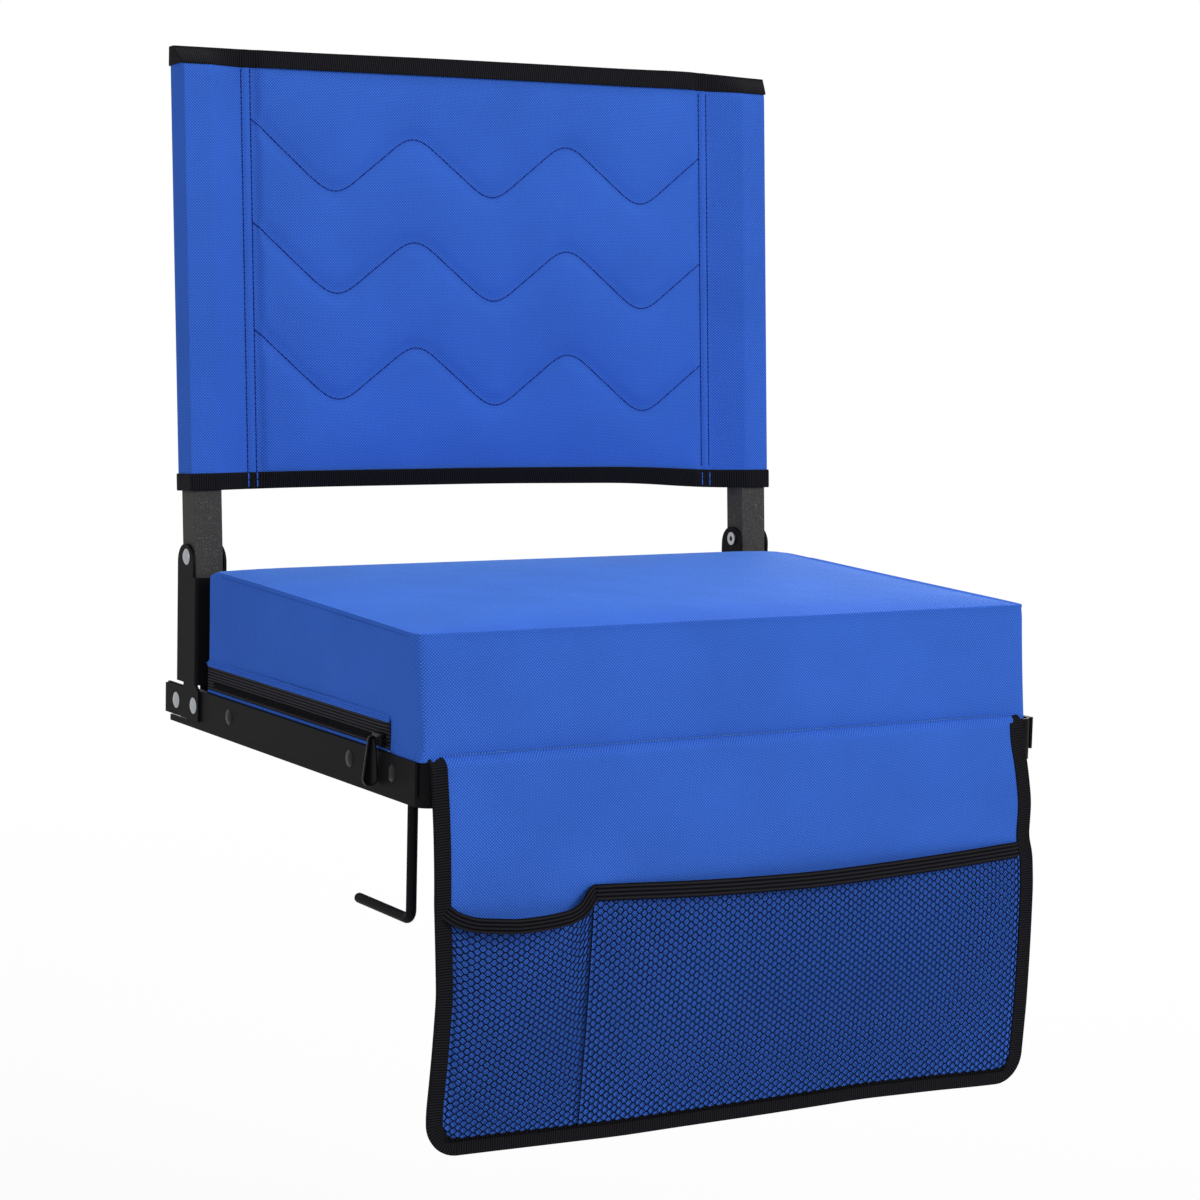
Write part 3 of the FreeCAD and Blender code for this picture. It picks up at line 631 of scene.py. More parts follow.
CUSHION_END_RUN = 30 * MM
CUSHION_HELD = 4 * MM
CUSHION_CELLS = (58, 38, 6)
CUSHION_EDGE_ROWS = [0, 1.2 * MM, 3.2 * MM, 6 * MM, 11 * MM, 18 * MM]
SEAM_RIDGE = 0.5 * MM
SEAM_GROOVE = 0.7 * MM
SEAM_GROOVE_PLACE = 3.2 * MM
SEAM_GROOVE_WIDE = 1.2 * MM
SEAM_FADE = 0.12
ZIP_LOW = 32.2 * MM
ZIP_HIGH = 49.6 * MM
ZIP_FRONT = -347.6 * MM
ZIP_FOLD = 5.2 * MM
ZIP_HEM = 2.2 * MM
ZIP_COIL_PITCH = 1.9 * MM
ZIP_RIDGES = 8
ZIP_FLARE = 0.1
ZIP_FLARE_RUN = 14 * MM


def cushion_place(across, back, up):
    """Place on the cushion: across from -1 to 1, back and up from 0 to 1."""
    front = CUSHION_FRONT + CUSHION_LEAN * up
    x = across * CUSHION_HALF
    y = front + (CUSHION_REAR - front) * back
    crown = CUSHION_CROWN * (1 - across ** 2) * math.sin(math.pi * back)
    top = CUSHION_TOP_FRONT + (CUSHION_TOP_REAR - CUSHION_TOP_FRONT) * back + crown
    z = CUSHION_LOW + (top - CUSHION_LOW) * up
    if back > 0.5:
        # the rear top edge is round and has no seam
        in_y, in_z = round_edge(CUSHION_REAR - y, top - z, CUSHION_REAR_ROUND)
        y, z = CUSHION_REAR - in_y, top - in_z
        in_x, in_y = round_edge(CUSHION_HALF - abs(x), CUSHION_REAR - y, CUSHION_CORNER)
        y = CUSHION_REAR - in_y
        # and so are its two ends
        near = max(0.0, 1 - (CUSHION_REAR - y) / CUSHION_END_RUN)
        in_x, in_z = round_edge(in_x, top - z, CUSHION_SHOULDER * near)
        z = top - in_z
    else:
        # the lower front tucks in to the seam with the flap
        low = max(0.0, 1 - (z - CUSHION_LOW) / CUSHION_TUCK_RUN) ** 2
        ahead = max(0.0, 1 - (y - front) / CUSHION_END_RUN)
        y += CUSHION_TUCK * low * ahead * min(1.0, (1 - abs(across)) / CUSHION_TUCK_END)
        corner = CUSHION_CORNER + (CUSHION_SOFT_CORNER - CUSHION_CORNER) * up * (x < 0)
        in_x, in_y = round_edge(CUSHION_HALF - abs(x), y - front, corner)
        y = front + in_y
    x = math.copysign(CUSHION_HALF - in_x, across)
    # the sides pull in between the corners, and so does the right front corner, most at its foot
    x -= math.sin(math.pi * back) * CUSHION_PULL_IN * math.copysign(abs(across) ** 6, across)
    drawn = max(0.0, 1 - (y - front) / CUSHION_TAPER_RUN) ** 2
    x -= CUSHION_TAPER * max(0.0, across) * drawn * (1 - CUSHION_TAPER_UP * up)
    # the sides' feet hang over the rails, apart from that corner and the length of the zip
    foot = max(0.0, 1 - (z - CUSHION_LOW) / CUSHION_HEM_HIGH) ** 2 * across ** 6
    if across < 0:
        reach = (ZIP_FRONT - y) / CUSHION_HEM_RUN
    else:
        reach = (y - front) / CUSHION_TAPER_RUN - CUSHION_HEM_START
    x += math.copysign(CUSHION_HEM * foot * min(1.0, max(0.0, reach)), across)
    # a sewn edge stands up a little, with a groove beside it where the thread pulls the cloth down
    sewn = SEAM_GROOVE * min(1.0, max(0.0, (1 - back) / SEAM_FADE))
    if up == 1:
        beside = min(CUSHION_HALF * (1 - abs(across)), (CUSHION_REAR - CUSHION_FRONT) * back)
        groove = sewn * math.exp(-((beside - SEAM_GROOVE_PLACE) / SEAM_GROOVE_WIDE) ** 2)
        z += (SEAM_RIDGE * sewn / SEAM_GROOVE if beside < 0.1 * MM else 0.0) - groove
    elif abs(across) == 1 or back == 0:
        groove = sewn * math.exp(-((top - z - SEAM_GROOVE_PLACE) / SEAM_GROOVE_WIDE) ** 2)
        if abs(across) == 1:
            x -= math.copysign(groove, x)
        else:
            y += groove
    return Vector((x, y, z))


def cushion_fixed(across, back, up):
    """True where the cushion's cloth is held: on its board, at its seams and beside the zip."""
    if up == 0:
        return True
    depth = CUSHION_TOP_FRONT - CUSHION_LOW
    if across == -1 and up * depth < ZIP_HIGH + ZIP_FOLD - CUSHION_LOW:
        return True
    from_side = CUSHION_HALF * (1 - abs(across))
    from_front = (CUSHION_REAR - CUSHION_FRONT) * back
    return (1 - up) * depth < CUSHION_HELD and min(from_side, from_front) < CUSHION_HELD


class SEAT_OT_cushion(bpy.types.Operator):
    """Build the seat cushion: swollen cloth over foam, with stitched seams along its top edges"""

    bl_idname = "seat.cushion"
    bl_label = "Cushion"

    def execute(self, context):
        cloth = context.scene.seat_cloth
        sizes = (2 * CUSHION_HALF, CUSHION_REAR - CUSHION_FRONT, CUSHION_TOP_FRONT - CUSHION_LOW)
        shares = [fine_ends(size, CUSHION_EDGE_ROWS, cells) for size, cells in zip(sizes, CUSHION_CELLS)]
        bm = lattice_box([len(places) - 1 for places in shares])
        crease = bm.edges.layers.float.new("crease_edge")
        for edge in bm.edges:
            ends = [[abs(abs(c) - 0.5) < 1e-5 for c in v.co] for v in edge.verts]
            low = all(v.co.z < -0.499 and (e[0] or e[1]) for v, e in zip(edge.verts, ends))
            seam = all(v.co.z > 0.499 and (e[0] or v.co.y < -0.499) for v, e in zip(edge.verts, ends))
            rear = max(v.co.y for v in edge.verts) > 0.3
            edge[crease] = 1.0 if low else 0.8 if seam and not rear else 0.0
        bm.verts.index_update()
        held = []
        for v in bm.verts:
            share = [s[round((c + 0.5) * (len(s) - 1))] for s, c in zip(shares, v.co)]
            place = (share[0] * 2 - 1, share[1], share[2])
            if cushion_fixed(*place):
                held.append(v.index)
            v.co = cushion_place(*place)
        bmesh.ops.recalc_face_normals(bm, faces=bm.faces)
        cloth_uv(bm)
        nodes = ("cushion_cover", "cushion_foam")
        piece = to_object(bm, "cushion", "blue_oxford_cloth", "frame", nodes)
        swell(piece, held, cloth.swell)
        smooth_levels(piece, 1)
        self.seams(piece, cloth)
        return {"FINISHED"}

    def seams(self, piece, cloth):
        """Thread in the grooves beside the seams along the top edges."""
        tree = surface_of(piece)
        rows = []
        inside = 12 * MM
        for sign in (-1, 1):
            out = Vector((sign, 0, 0))
            row = []
            for i in range(61):
                back = i / 60
                y = CUSHION_FRONT + CUSHION_LEAN + inside + (CUSHION_REAR - CUSHION_FRONT - 4 * inside) * back
                top = between(y, [(CUSHION_FRONT, CUSHION_TOP_FRONT), (CUSHION_REAR, CUSHION_TOP_REAR)])
                start = Vector((sign * 0.4, y, top - SEAM_GROOVE_PLACE))
                row.append((on_surface(tree, start, -out), out))
            rows.append(row)
        up = Vector((0, 0, 1))
        row = []
        for i in range(101):
            x = (CUSHION_HALF - inside) * (i / 50 - 1)
            start = Vector((x, CUSHION_FRONT + CUSHION_LEAN + SEAM_GROOVE_PLACE, 0.3))
            row.append((on_surface(tree, start, -up), up))
        rows.append(row)
        runs = stitches(rows, cloth.stitch, 1.0 * MM, 0.2 * MM)
        thread_piece("cushion_stitches", runs, 0.6 * MM, "cloth_blue_thread", "frame")


# Zip


PULL_PIVOT = Vector((-258.5 * MM, -337.5 * MM, 37.25 * MM))
PULL_NECK = 3 * MM
PULL_FOOT = 5.6 * MM
PULL_LENGTH = 31.2 * MM
PULL_THICK = 1.8 * MM
PULL_RIM = 1.5 * MM
PULL_EDGE = 0.3 * MM
PULL_SUNK = 0.45 * MM
PULL_TILT = 2


def zip_path(height, off):
    """Places along the zip: down the cushion's left side, round its rear corner and a little along the rear."""
    up = Vector((0, 0, 1))
    places = []
    straight_end = CUSHION_REAR - CUSHION_CORNER
    for i in range(65):
        y = ZIP_FRONT + (straight_end - ZIP_FRONT) * i / 64
        places.append((Vector((-CUSHION_HALF - off, y, height)), up, Vector((-1, 0, 0))))
    centre = Vector((-CUSHION_HALF + CUSHION_CORNER, straight_end, height))
    for i in range(1, 7):
        turn = i / 6 * math.pi / 2
        out = Vector((-math.cos(turn), math.sin(turn), 0))
        places.append((centre + out * (CUSHION_CORNER + off), up, out))
    for i in range(1, 6):
        places.append((centre + Vector((i * 5 * MM, CUSHION_CORNER + off, 0)), up, Vector((0, 1, 0))))
    return places


class SEAT_OT_zip(bpy.types.Operator):
    """Build the zip: ridged tape, the closed coil, the pull tab and the folds of cloth that hold them"""

    bl_idname = "seat.zip"
    bl_label = "Zip"

    def execute(self, context):
        cloth = context.scene.seat_cloth
        self.tape()
        self.folds(cloth)
        low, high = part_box("zipper_coil")
        mid = (low[2] + high[2]) / 2
        runs = []
        for i in range(int((high[1] - low[1]) / ZIP_COIL_PITCH)):
            y = low[1] + (i + 0.5) * ZIP_COIL_PITCH
            turn = []
            for j in range(7):
                angle = math.pi * j / 6
                x = high[0] - (high[0] - low[0]) * 0.75 * math.sin(angle) - 0.1 * MM
                z = mid - math.cos(angle) * (high[2] - low[2]) * 0.45
                turn.append(Vector((x, y + (j / 6 - 0.5) * ZIP_COIL_PITCH * 0.6, z)))
            runs.append(turn)
        thread_piece("zip_coil", runs, 0.8 * MM, "black_thread", "frame", ("zipper_coil",))
        self.pull()
        return {"FINISHED"}

    def pull(self):
        """Pull tab: a long plate, wider at its round foot, with a raised rim round a sunk middle."""
        bm = bmesh.new()
        bmesh.ops.create_circle(bm, cap_ends=True, segments=32, radius=1.0)
        for v in bm.verts:
            radius, height = (PULL_NECK, 0.0) if v.co.y > 1e-4 else (PULL_FOOT, PULL_FOOT - PULL_LENGTH)
            v.co = Vector((v.co.x * radius, PULL_THICK / 2, height + v.co.y * radius))
        made = bmesh.ops.extrude_face_region(bm, geom=bm.faces[:])
        moved = [v for v in made["geom"] if isinstance(v, bmesh.types.BMVert)]
        bmesh.ops.translate(bm, verts=moved, vec=(0, -PULL_THICK, 0))
        bmesh.ops.recalc_face_normals(bm, faces=bm.faces)
        broad = [f for f in bm.faces if len(f.verts) > 4]
        rims = [e for f in broad for e in f.edges]
        bmesh.ops.inset_individual(bm, faces=broad, thickness=PULL_RIM, depth=0.0)
        bmesh.ops.inset_individual(bm, faces=broad, thickness=PULL_EDGE, depth=-PULL_SUNK)
        bmesh.ops.bevel(bm, geom=rims, offset=PULL_EDGE, affect="EDGES", segments=2, profile=0.5, material=-1)
        lean = Matrix.Translation(PULL_PIVOT) @ Matrix.Rotation(math.radians(PULL_TILT), 4, "Y")
        bmesh.ops.transform(bm, matrix=lean, verts=bm.verts)
        to_object(bm, "zip_pull", "black_lacquered_rivet", "zipper_pull", ("zipper_pull",))

    def tape(self):
        """Tape with long ridges, whose cut front end flares."""
        wide = (ZIP_HIGH - ZIP_LOW) / 2
        path = []
        for point, side, out in zip_path((ZIP_LOW + ZIP_HIGH) / 2, 0.3 * MM):
            flare = 1 + ZIP_FLARE * max(0.0, 1 - (point.y - ZIP_FRONT) / ZIP_FLARE_RUN)
            path.append((point, side * flare, out))
        ridges = [(-wide, -0.3 * MM), (-wide, 0.3 * MM)]
        for i in range(ZIP_RIDGES):
            z = -wide + 2 * wide * (i + 0.5) / ZIP_RIDGES
            ridges += [(z - 0.6 * MM, 0.2 * MM), (z, 0.75 * MM), (z + 0.6 * MM, 0.2 * MM)]
        ridges += [(wide, 0.3 * MM), (wide, -0.3 * MM)]
        to_object(band(path, ridges), "zip_tape", "black_zip_tape", "frame", ("zipper_tape",))

    def folds(self, cloth):
        """Folded hems of cloth above and below the tape, the upper one topstitched."""
        for name, low, width, thick in (
            ("zip_fold_upper", ZIP_HIGH - 0.4 * MM, ZIP_FOLD, 1.9 * MM),
            ("zip_fold_lower", CUSHION_LOW, ZIP_HEM, 1.6 * MM),
        ):
            path = zip_path(low + width / 2, 0.1 * MM)
            wide = width / 2
            # thick over the tape, thin where it runs into the side
            section = [
                (-wide, -0.5 * MM), (-wide, thick * 0.6), (-wide * 0.7, thick * 0.75), (0.0, thick * 0.5),
                (wide, 0.05 * MM), (wide, -0.5 * MM),
            ]
            piece = to_object(band(path, section), name, "blue_oxford_cloth", "frame")
            smooth_levels(piece, 1)
        row = [(point, out) for point, side, out in zip_path(ZIP_HIGH + ZIP_FOLD * 0.4, 1.5 * MM)]
        runs = stitches([row], cloth.stitch * 0.8, 0.9 * MM, 0.25 * MM)
        thread_piece("zip_stitches", runs, 0.8 * MM, "bright_blue_thread", "frame")


# Back

PIVOT = Vector((0.0, -26.5 * MM, 127.5 * MM))
BACK_ANGLE = math.radians(-3.9)
BACK_LEAN = Matrix.Translation(PIVOT) @ Matrix.Rotation(BACK_ANGLE, 4, "X") @ Matrix.Translation(-PIVOT)
BACK_LOW = 174.5 * MM
BACK_HIGH = 501.5 * MM
SLEEVE_OUT = 256.0 * MM
SLEEVE_IN = 234.5 * MM
SLEEVE_FOLD = 1.5 * MM
SLEEVE_DEPTH = 12.3 * MM
SLEEVE_FLARE = 3.5 * MM
SEAM_MID = 202 * MM
SEAM_ROW = 3.6 * MM
SEAM_HALF = 7 * MM
SEAM_DEPTH = 1.9 * MM
SEAM_ROW_DEPTH = 1.2 * MM
SEAM_STRIP_DEPTH = 2.6 * MM
PAD_END = 189.9 * MM
PAD_DEPTH = 7 * MM
PAD_EDGE_DEPTH = 3 * MM
PAD_EDGE_RUN = 16 * MM
PINCH_RUN = 15 * MM
PINCH_DEPTH = 2.5 * MM
TAPE_WIDE = 13 * MM
TAPE_THICK = 1.1 * MM
COVER_HIGH = BACK_HIGH - TAPE_THICK
WAVE_PITCH = 135.4 * MM
WAVE_HALF_HEIGHT = 20.75 * MM
WAVE_SHIFT = 5 * MM
WAVE_LEFT = -153 * MM
WAVE_LEFT_SLOPE = 0.87
WAVE_GROOVE = 2.8 * MM
WAVE_GROOVE_WIDE = 5 * MM
WAVE_SINK = 1.2 * MM
WAVE_HELD = 1.8 * MM
EDGE_HELD = 6 * MM
EDGE_SOFT = 30 * MM
TOP_EDGE_RUN = 60 * MM
BOTTOM_EDGE_RUN = 90 * MM
WAVES = ((419.9 * MM, -0.008), (339.9 * MM, -0.032), (259.2 * MM, -0.038))
TOP_EDGE = in_mm((-258, 0.8), (-158, 1.1), (-40, 2.5), (67, 3), (141, 3.2), (196, 4.4), (240, 1.2), (262, 1))
BOTTOM_EDGE = in_mm((-255, 2.2), (-148, 3), (8, 2.7), (137, 0.7), (196, -4.2), (258, -5))
FRONT, REAR = Vector((0, -1, 0)), Vector((0, 1, 0))


def wave_height(x, wave):
    """Height of a sewn wave: straight flanks, round crests, a trough in the middle, a straight rise at the left."""
    middle, slant = wave
    bent = max(x, WAVE_LEFT)
    turn = 2 * math.pi * (bent - WAVE_SHIFT) / WAVE_PITCH
    height = middle + slant * bent - WAVE_HALF_HEIGHT * (0.95 * math.cos(turn) + 0.05 * math.cos(3 * turn))
    return height + (bent - x) * WAVE_LEFT_SLOPE


def wave_distance(x, z):
    """Distance from the nearest sewn wave."""
    nearest = 1.0
    for wave in WAVES:
        slope = (wave_height(x + MM, wave) - wave_height(x - MM, wave)) / (2 * MM)
        nearest = min(nearest, abs(z - wave_height(x, wave)) / math.hypot(1.0, slope))
    return nearest


def back_depth(x, z):
    """Half thickness of the back at a place, before its padding swells."""
    pad = between(z, [
        (BACK_LOW, PAD_EDGE_DEPTH), (BACK_LOW + PAD_EDGE_RUN, PAD_DEPTH),
        (COVER_HIGH - PAD_EDGE_RUN, PAD_DEPTH), (COVER_HIGH, PAD_EDGE_DEPTH),
    ])
    sleeve = SLEEVE_DEPTH - (SLEEVE_DEPTH - PINCH_DEPTH) * pinched(z)
    return between(abs(x), [
        (0.0, pad), (PAD_END, pad), (SEAM_MID - SEAM_HALF, SEAM_DEPTH), (SEAM_MID - SEAM_ROW, SEAM_ROW_DEPTH),
        (SEAM_MID, SEAM_STRIP_DEPTH), (SEAM_MID + SEAM_ROW, SEAM_ROW_DEPTH), (SEAM_MID + SEAM_HALF, SEAM_DEPTH),
        (SLEEVE_IN, sleeve), (SLEEVE_OUT, sleeve),
    ])


def pinched(z):
    """How far the binding has pressed the sleeves flat at a height, from 0 to 1."""
    return min(1.0, max(0.0, 1 - (COVER_HIGH - z) / PINCH_RUN)) ** 1.5


def back_rise(x, z):
    """How far the uneven upper and lower edges lift a place of the back."""
    high = softened(x, TOP_EDGE, EDGE_SOFT) * max(0.0, 1 - (BACK_HIGH - z) / TOP_EDGE_RUN) ** 2
    low = softened(x, BOTTOM_EDGE, EDGE_SOFT) * max(0.0, 1 - (z - BACK_LOW) / BOTTOM_EDGE_RUN) ** 2
    return high + low


BACK_SIDE = spread([
    PAD_END, (SEAM_MID - SEAM_HALF, 2), (SEAM_MID - SEAM_ROW, 1), (SEAM_MID, 2), (SEAM_MID + SEAM_ROW, 2),
    (SEAM_MID + SEAM_HALF, 1), (SLEEVE_IN - SLEEVE_FOLD, 5), (SLEEVE_IN, 1), (SLEEVE_IN + SLEEVE_FOLD, 1),
    (SLEEVE_OUT - SLEEVE_FOLD, 3), (SLEEVE_OUT, 1),
])
BACK_COLUMNS = [-x for x in reversed(BACK_SIDE)] + spread([-PAD_END, (PAD_END, 110)])[1:-1] + BACK_SIDE
BACK_LAYERS = (-1.0, -0.88, 0.0, 0.88, 1.0)


def back_shell(rows, grow, open_ends=()):
    """Shell with the outline of the back between the given rows, grown outwards and open at some ends."""
    grid = (BACK_COLUMNS, BACK_LAYERS, rows)
    bm = lattice_box([len(places) - 1 for places in grid])
    gone = [f for f in bm.faces if any(f.calc_center_median().z * end > 0.4999 for end in open_ends)]
    bmesh.ops.delete(bm, geom=gone, context="FACES")
    for v in bm.verts:
        x, layer, z = (places[round((c + 0.5) * (len(places) - 1))] for c, places in zip(v.co, grid))
        depth = back_depth(x, min(z, COVER_HIGH)) + grow
        outer = max(0.0, (abs(x) - SEAM_MID) / (SLEEVE_OUT - SEAM_MID))
        wide = x * (1 + grow / SLEEVE_OUT) + math.copysign(SLEEVE_FLARE * pinched(z) * outer, x)
        v.co = Vector((wide, PIVOT.y + layer * depth, z + back_rise(x, z)))
    bmesh.ops.recalc_face_normals(bm, faces=bm.faces)
    return bm


def lean_back(piece):
    """Leans a finished piece of the back about the hinges."""
    piece.data.transform(BACK_LEAN)
    piece.data.update()


def surface_row(tree, places, out):
    """Thread places on a surface, looked for from outside at (x, z) places of the back."""
    return [(on_surface(tree, Vector((x, PIVOT.y + out.y * 0.1, z)), -out), out) for x, z in places]


class SEAT_OT_back(bpy.types.Operator):
    """Build the back: padded cover with post sleeves, sewn waves, seams and binding tape"""

    bl_idname = "seat.back"
    bl_label = "Back"

    def execute(self, context):
        cloth = context.scene.seat_cloth
        rows = spread([BACK_LOW, (BACK_LOW + PAD_EDGE_RUN, 5), (COVER_HIGH - PAD_EDGE_RUN, 84), (COVER_HIGH, 8)])
        bm = back_shell(rows, 0.0)
        bm.verts.index_update()
        held = []
        for v in bm.verts:
            x, z = v.co.x, v.co.z
            near = max(0.0, wave_distance(x, z) - WAVE_HELD)
            in_edge = BACK_LOW + EDGE_HELD < z < COVER_HIGH - EDGE_HELD
            if abs(x) >= PAD_END - MM or not in_edge or near == 0:
                held.append(v.index)
            if abs(x) < PAD_END + MM:
                # the thread pulls the cloth down along the waves
                sunk = WAVE_SINK + WAVE_GROOVE * math.exp(-(near / WAVE_GROOVE_WIDE) ** 2)
                aside = v.co.y - PIVOT.y
                v.co.y -= math.copysign(sunk * min(1.0, abs(aside) / PAD_DEPTH), aside)
        cloth_uv(bm, (1.0, 3.0, 1.0))
        nodes = ("back_cover", "back_foam")
        piece = to_object(bm, "back_padding", "blue_oxford_cloth", "backrest", nodes)
        swell(piece, held, cloth.quilt)
        smooth_levels(piece, 1)
        self.threads(piece, cloth)
        lean_back(piece)
        self.tapes(cloth)
        return {"FINISHED"}

    def threads(self, piece, cloth):
        """Sewn waves and the double seam rows, front and rear."""
        tree = surface_of(piece)
        rows = []
        left, right = -SEAM_MID + SEAM_ROW, SEAM_MID - SEAM_ROW
        across = [left + (right - left) * i / 200 for i in range(201)]
        upward = [BACK_LOW + TAPE_WIDE + (BACK_HIGH - BACK_LOW - 2 * TAPE_WIDE) * i / 60 for i in range(61)]
        for out in (FRONT, REAR):
            for wave in WAVES:
                rows.append(surface_row(tree, [(x, wave_height(x, wave)) for x in across], out))
            for x in (-SEAM_MID - SEAM_ROW, left, right, SEAM_MID + SEAM_ROW):
                rows.append(surface_row(tree, [(x, z) for z in upward], out))
        runs = stitches(rows, cloth.stitch, 0.5 * MM, 0.3 * MM)
        thread_piece("back_stitches", runs, 0.8 * MM, "navy_thread", "backrest", lean=BACK_LEAN)

    def tapes(self, cloth):
        """Binding tape round the upper and the lower edge, the lower one tacked at the seams."""
        top_rows = spread([BACK_HIGH - TAPE_WIDE, (BACK_HIGH - TAPE_THICK, 6), (BACK_HIGH, 1)])
        self.tape("back_tape_top", "back_binding_top", top_rows, (-1,))
        low_rows = spread([BACK_LOW - 0.5 * MM, (BACK_LOW + TAPE_WIDE, 6)])
        piece = self.tape("back_tape_bottom", "back_binding_bottom", low_rows, (-1, 1))
        tree = surface_of(piece)
        rows = []
        for out in (FRONT, REAR):
            for x in (-SEAM_MID - SEAM_ROW, -SEAM_MID + SEAM_ROW, SEAM_MID - SEAM_ROW, SEAM_MID + SEAM_ROW):
                low = BACK_LOW + back_rise(x, BACK_LOW) + MM
                rows.append(surface_row(tree, [(x, low + i * 2.2 * MM) for i in range(6)], out))
        # these rows are found on the leaned tape, so they need no lean of their own
        runs = stitches(rows, cloth.stitch, 0.8 * MM, 0.3 * MM)
        thread_piece("back_tacks", runs, 1.0 * MM, "bright_blue_thread", "backrest")

    def tape(self, name, node, rows, open_ends):
        """One binding tape."""
        bm = back_shell(rows, TAPE_THICK, open_ends)
        cloth_uv(bm)
        piece = to_object(bm, name, "black_binding_tape", "backrest", (node,))
        lean_back(piece)
        modify(piece, "SOLIDIFY", thickness=1.0 * MM, offset=-1.0)
        smooth_levels(piece, 1)
        return piece


# Flap and pockets

FLAP_HIGH = 33 * MM
FLAP_LOW = -237 * MM
FLAP_FACE = -398.1 * MM
FLAP_CURL = 6 * MM
FLAP_CURL_RUN = 7 * MM
FLAP_FOLD = 4 * MM
FLAP_FOLD_RUN = 95 * MM
FLAP_BELLY = 2 * MM
FLAP_BELLY_RUN = 170 * MM
FLAP_RIPPLE = 0.8 * MM
FLAP_RIPPLE_RUN = 60 * MM
FLAP_CORNER = 23 * MM
FLAP_SIDE_SOFT = 5 * MM
FLAP_BOTTOM_SOFT = 15 * MM
FLAP_TAPE = 12 * MM
FLAP_TAPE_THICK = 3.2 * MM
FLAP_LEFT = in_mm((-230, -245.5), (-206, -246.3), (-170, -243.5), (-127, -240.5), (-58, -242), (33, -247))
FLAP_RIGHT = in_mm(
    (-217, 249.8), (-178, 251.3), (-90, 252.6), (-67, 251.4), (-55, 247), (-30, 246.6), (0, 241.4),
    (16, 237.8), (31, 237.8), (35, 235.3),
)
FLAP_BOTTOM = in_mm(
    (-243, -232), (-205, -232.8), (-97, -236.4), (10, -236.2), (104, -235.2), (175, -237.8), (212, -239.7),
    (250, -240.5),
)
FLAP_CUT = (492 * MM, 270 * MM)
FLAP_ROWS = spread([0.008, (0.955, 56), (1.0, 9)])
FLAP_IN_TAPE = 0.991
MOUTHS = {
    "left": in_mm(
        (-235.7, -60), (-231, -64.3), (-226.7, -68.7), (-214.8, -72.7), (-185, -75.2), (-162, -74.7),
        (-144, -73.7), (-134.7, -70.5), (-130, -64.8), (-127, -60),
    ),
    "right": in_mm((-122, -59.5), (-40, -63), (60, -65), (160, -62.5), (240, -59)),
}
MOUTH_SOFT = {"left": 4 * MM, "right": 30 * MM}
POCKET_BOW = {"left": 12 * MM, "right": 6.5 * MM}
POCKET_LIFT = 1.5 * MM
POCKET_LIFT_RUN = 8 * MM
POCKET_FOOT = 20 * MM
POCKET_HIGH = 160 * MM
POCKET_INSET = FLAP_TAPE - 2 * MM
POCKET_CUT = {"left": (102 * MM, 157 * MM), "right": (360 * MM, 157 * MM)}
ELASTIC_HIGH = {"left": 10 * MM, "right": 11.5 * MM}
DIVIDER = in_mm((-226, -131), (-58, -121.5))
ELASTIC_RIBS = 4
DIVIDER_STEP = 3 * MM
NET_CELL_SHAPE = 0.705
NET_JOIN = 0.5


def flap_sides(height):
    """The flap's left and right edge at a height."""
    return [softened(height, stops, FLAP_SIDE_SOFT) for stops in (FLAP_LEFT, FLAP_RIGHT)]


def flap_place(across, up):
    """Place on the flap, whose edges wave a little: across from -1 to 1, up from 0 to 1."""
    height = FLAP_LOW + (FLAP_HIGH - FLAP_LOW) * up
    left, right = flap_sides(height)
    x = left + (right - left) * (across + 1) / 2
    low = softened(x, FLAP_BOTTOM, FLAP_BOTTOM_SOFT)
    z = low + (FLAP_HIGH - low) * up
    aside = x - left if across < 0 else right - x
    in_x, in_z = round_edge(aside, z - low, FLAP_CORNER)
    x, z = left + in_x if across < 0 else right - in_x, low + in_z
    return Vector((x, flap_y(x, z), z))


def flap_y(x, z):
    """Face of the hanging flap: a soft fold above, a slight belly below, and its top curled to the seam."""
    down = FLAP_HIGH - z
    uneven = 0.75 + 0.25 * math.sin(x / (80 * MM) + 0.6)
    fold = FLAP_FOLD * math.sin(math.pi * min(1.0, down / FLAP_FOLD_RUN)) * uneven
    belly = FLAP_BELLY * math.sin(math.pi * min(1.0, max(0.0, down - FLAP_FOLD_RUN) / FLAP_BELLY_RUN))
    ripple = FLAP_RIPPLE * math.sin(x / (47 * MM) + z / (70 * MM)) * min(1.0, down / FLAP_RIPPLE_RUN)
    curl = FLAP_CURL * max(0.0, 1 - down / FLAP_CURL_RUN) ** 2
    return FLAP_FACE - fold - belly + ripple + curl


def swept_path(points):
    """Places for a band along points that face the front."""
    path = []
    for i, point in enumerate(points):
        along = points[min(len(points) - 1, i + 1)] - points[max(0, i - 1)]
        side = Vector((along.x, 0, along.z)).normalized().cross(FRONT)
        path.append((point, side, FRONT))
    return path


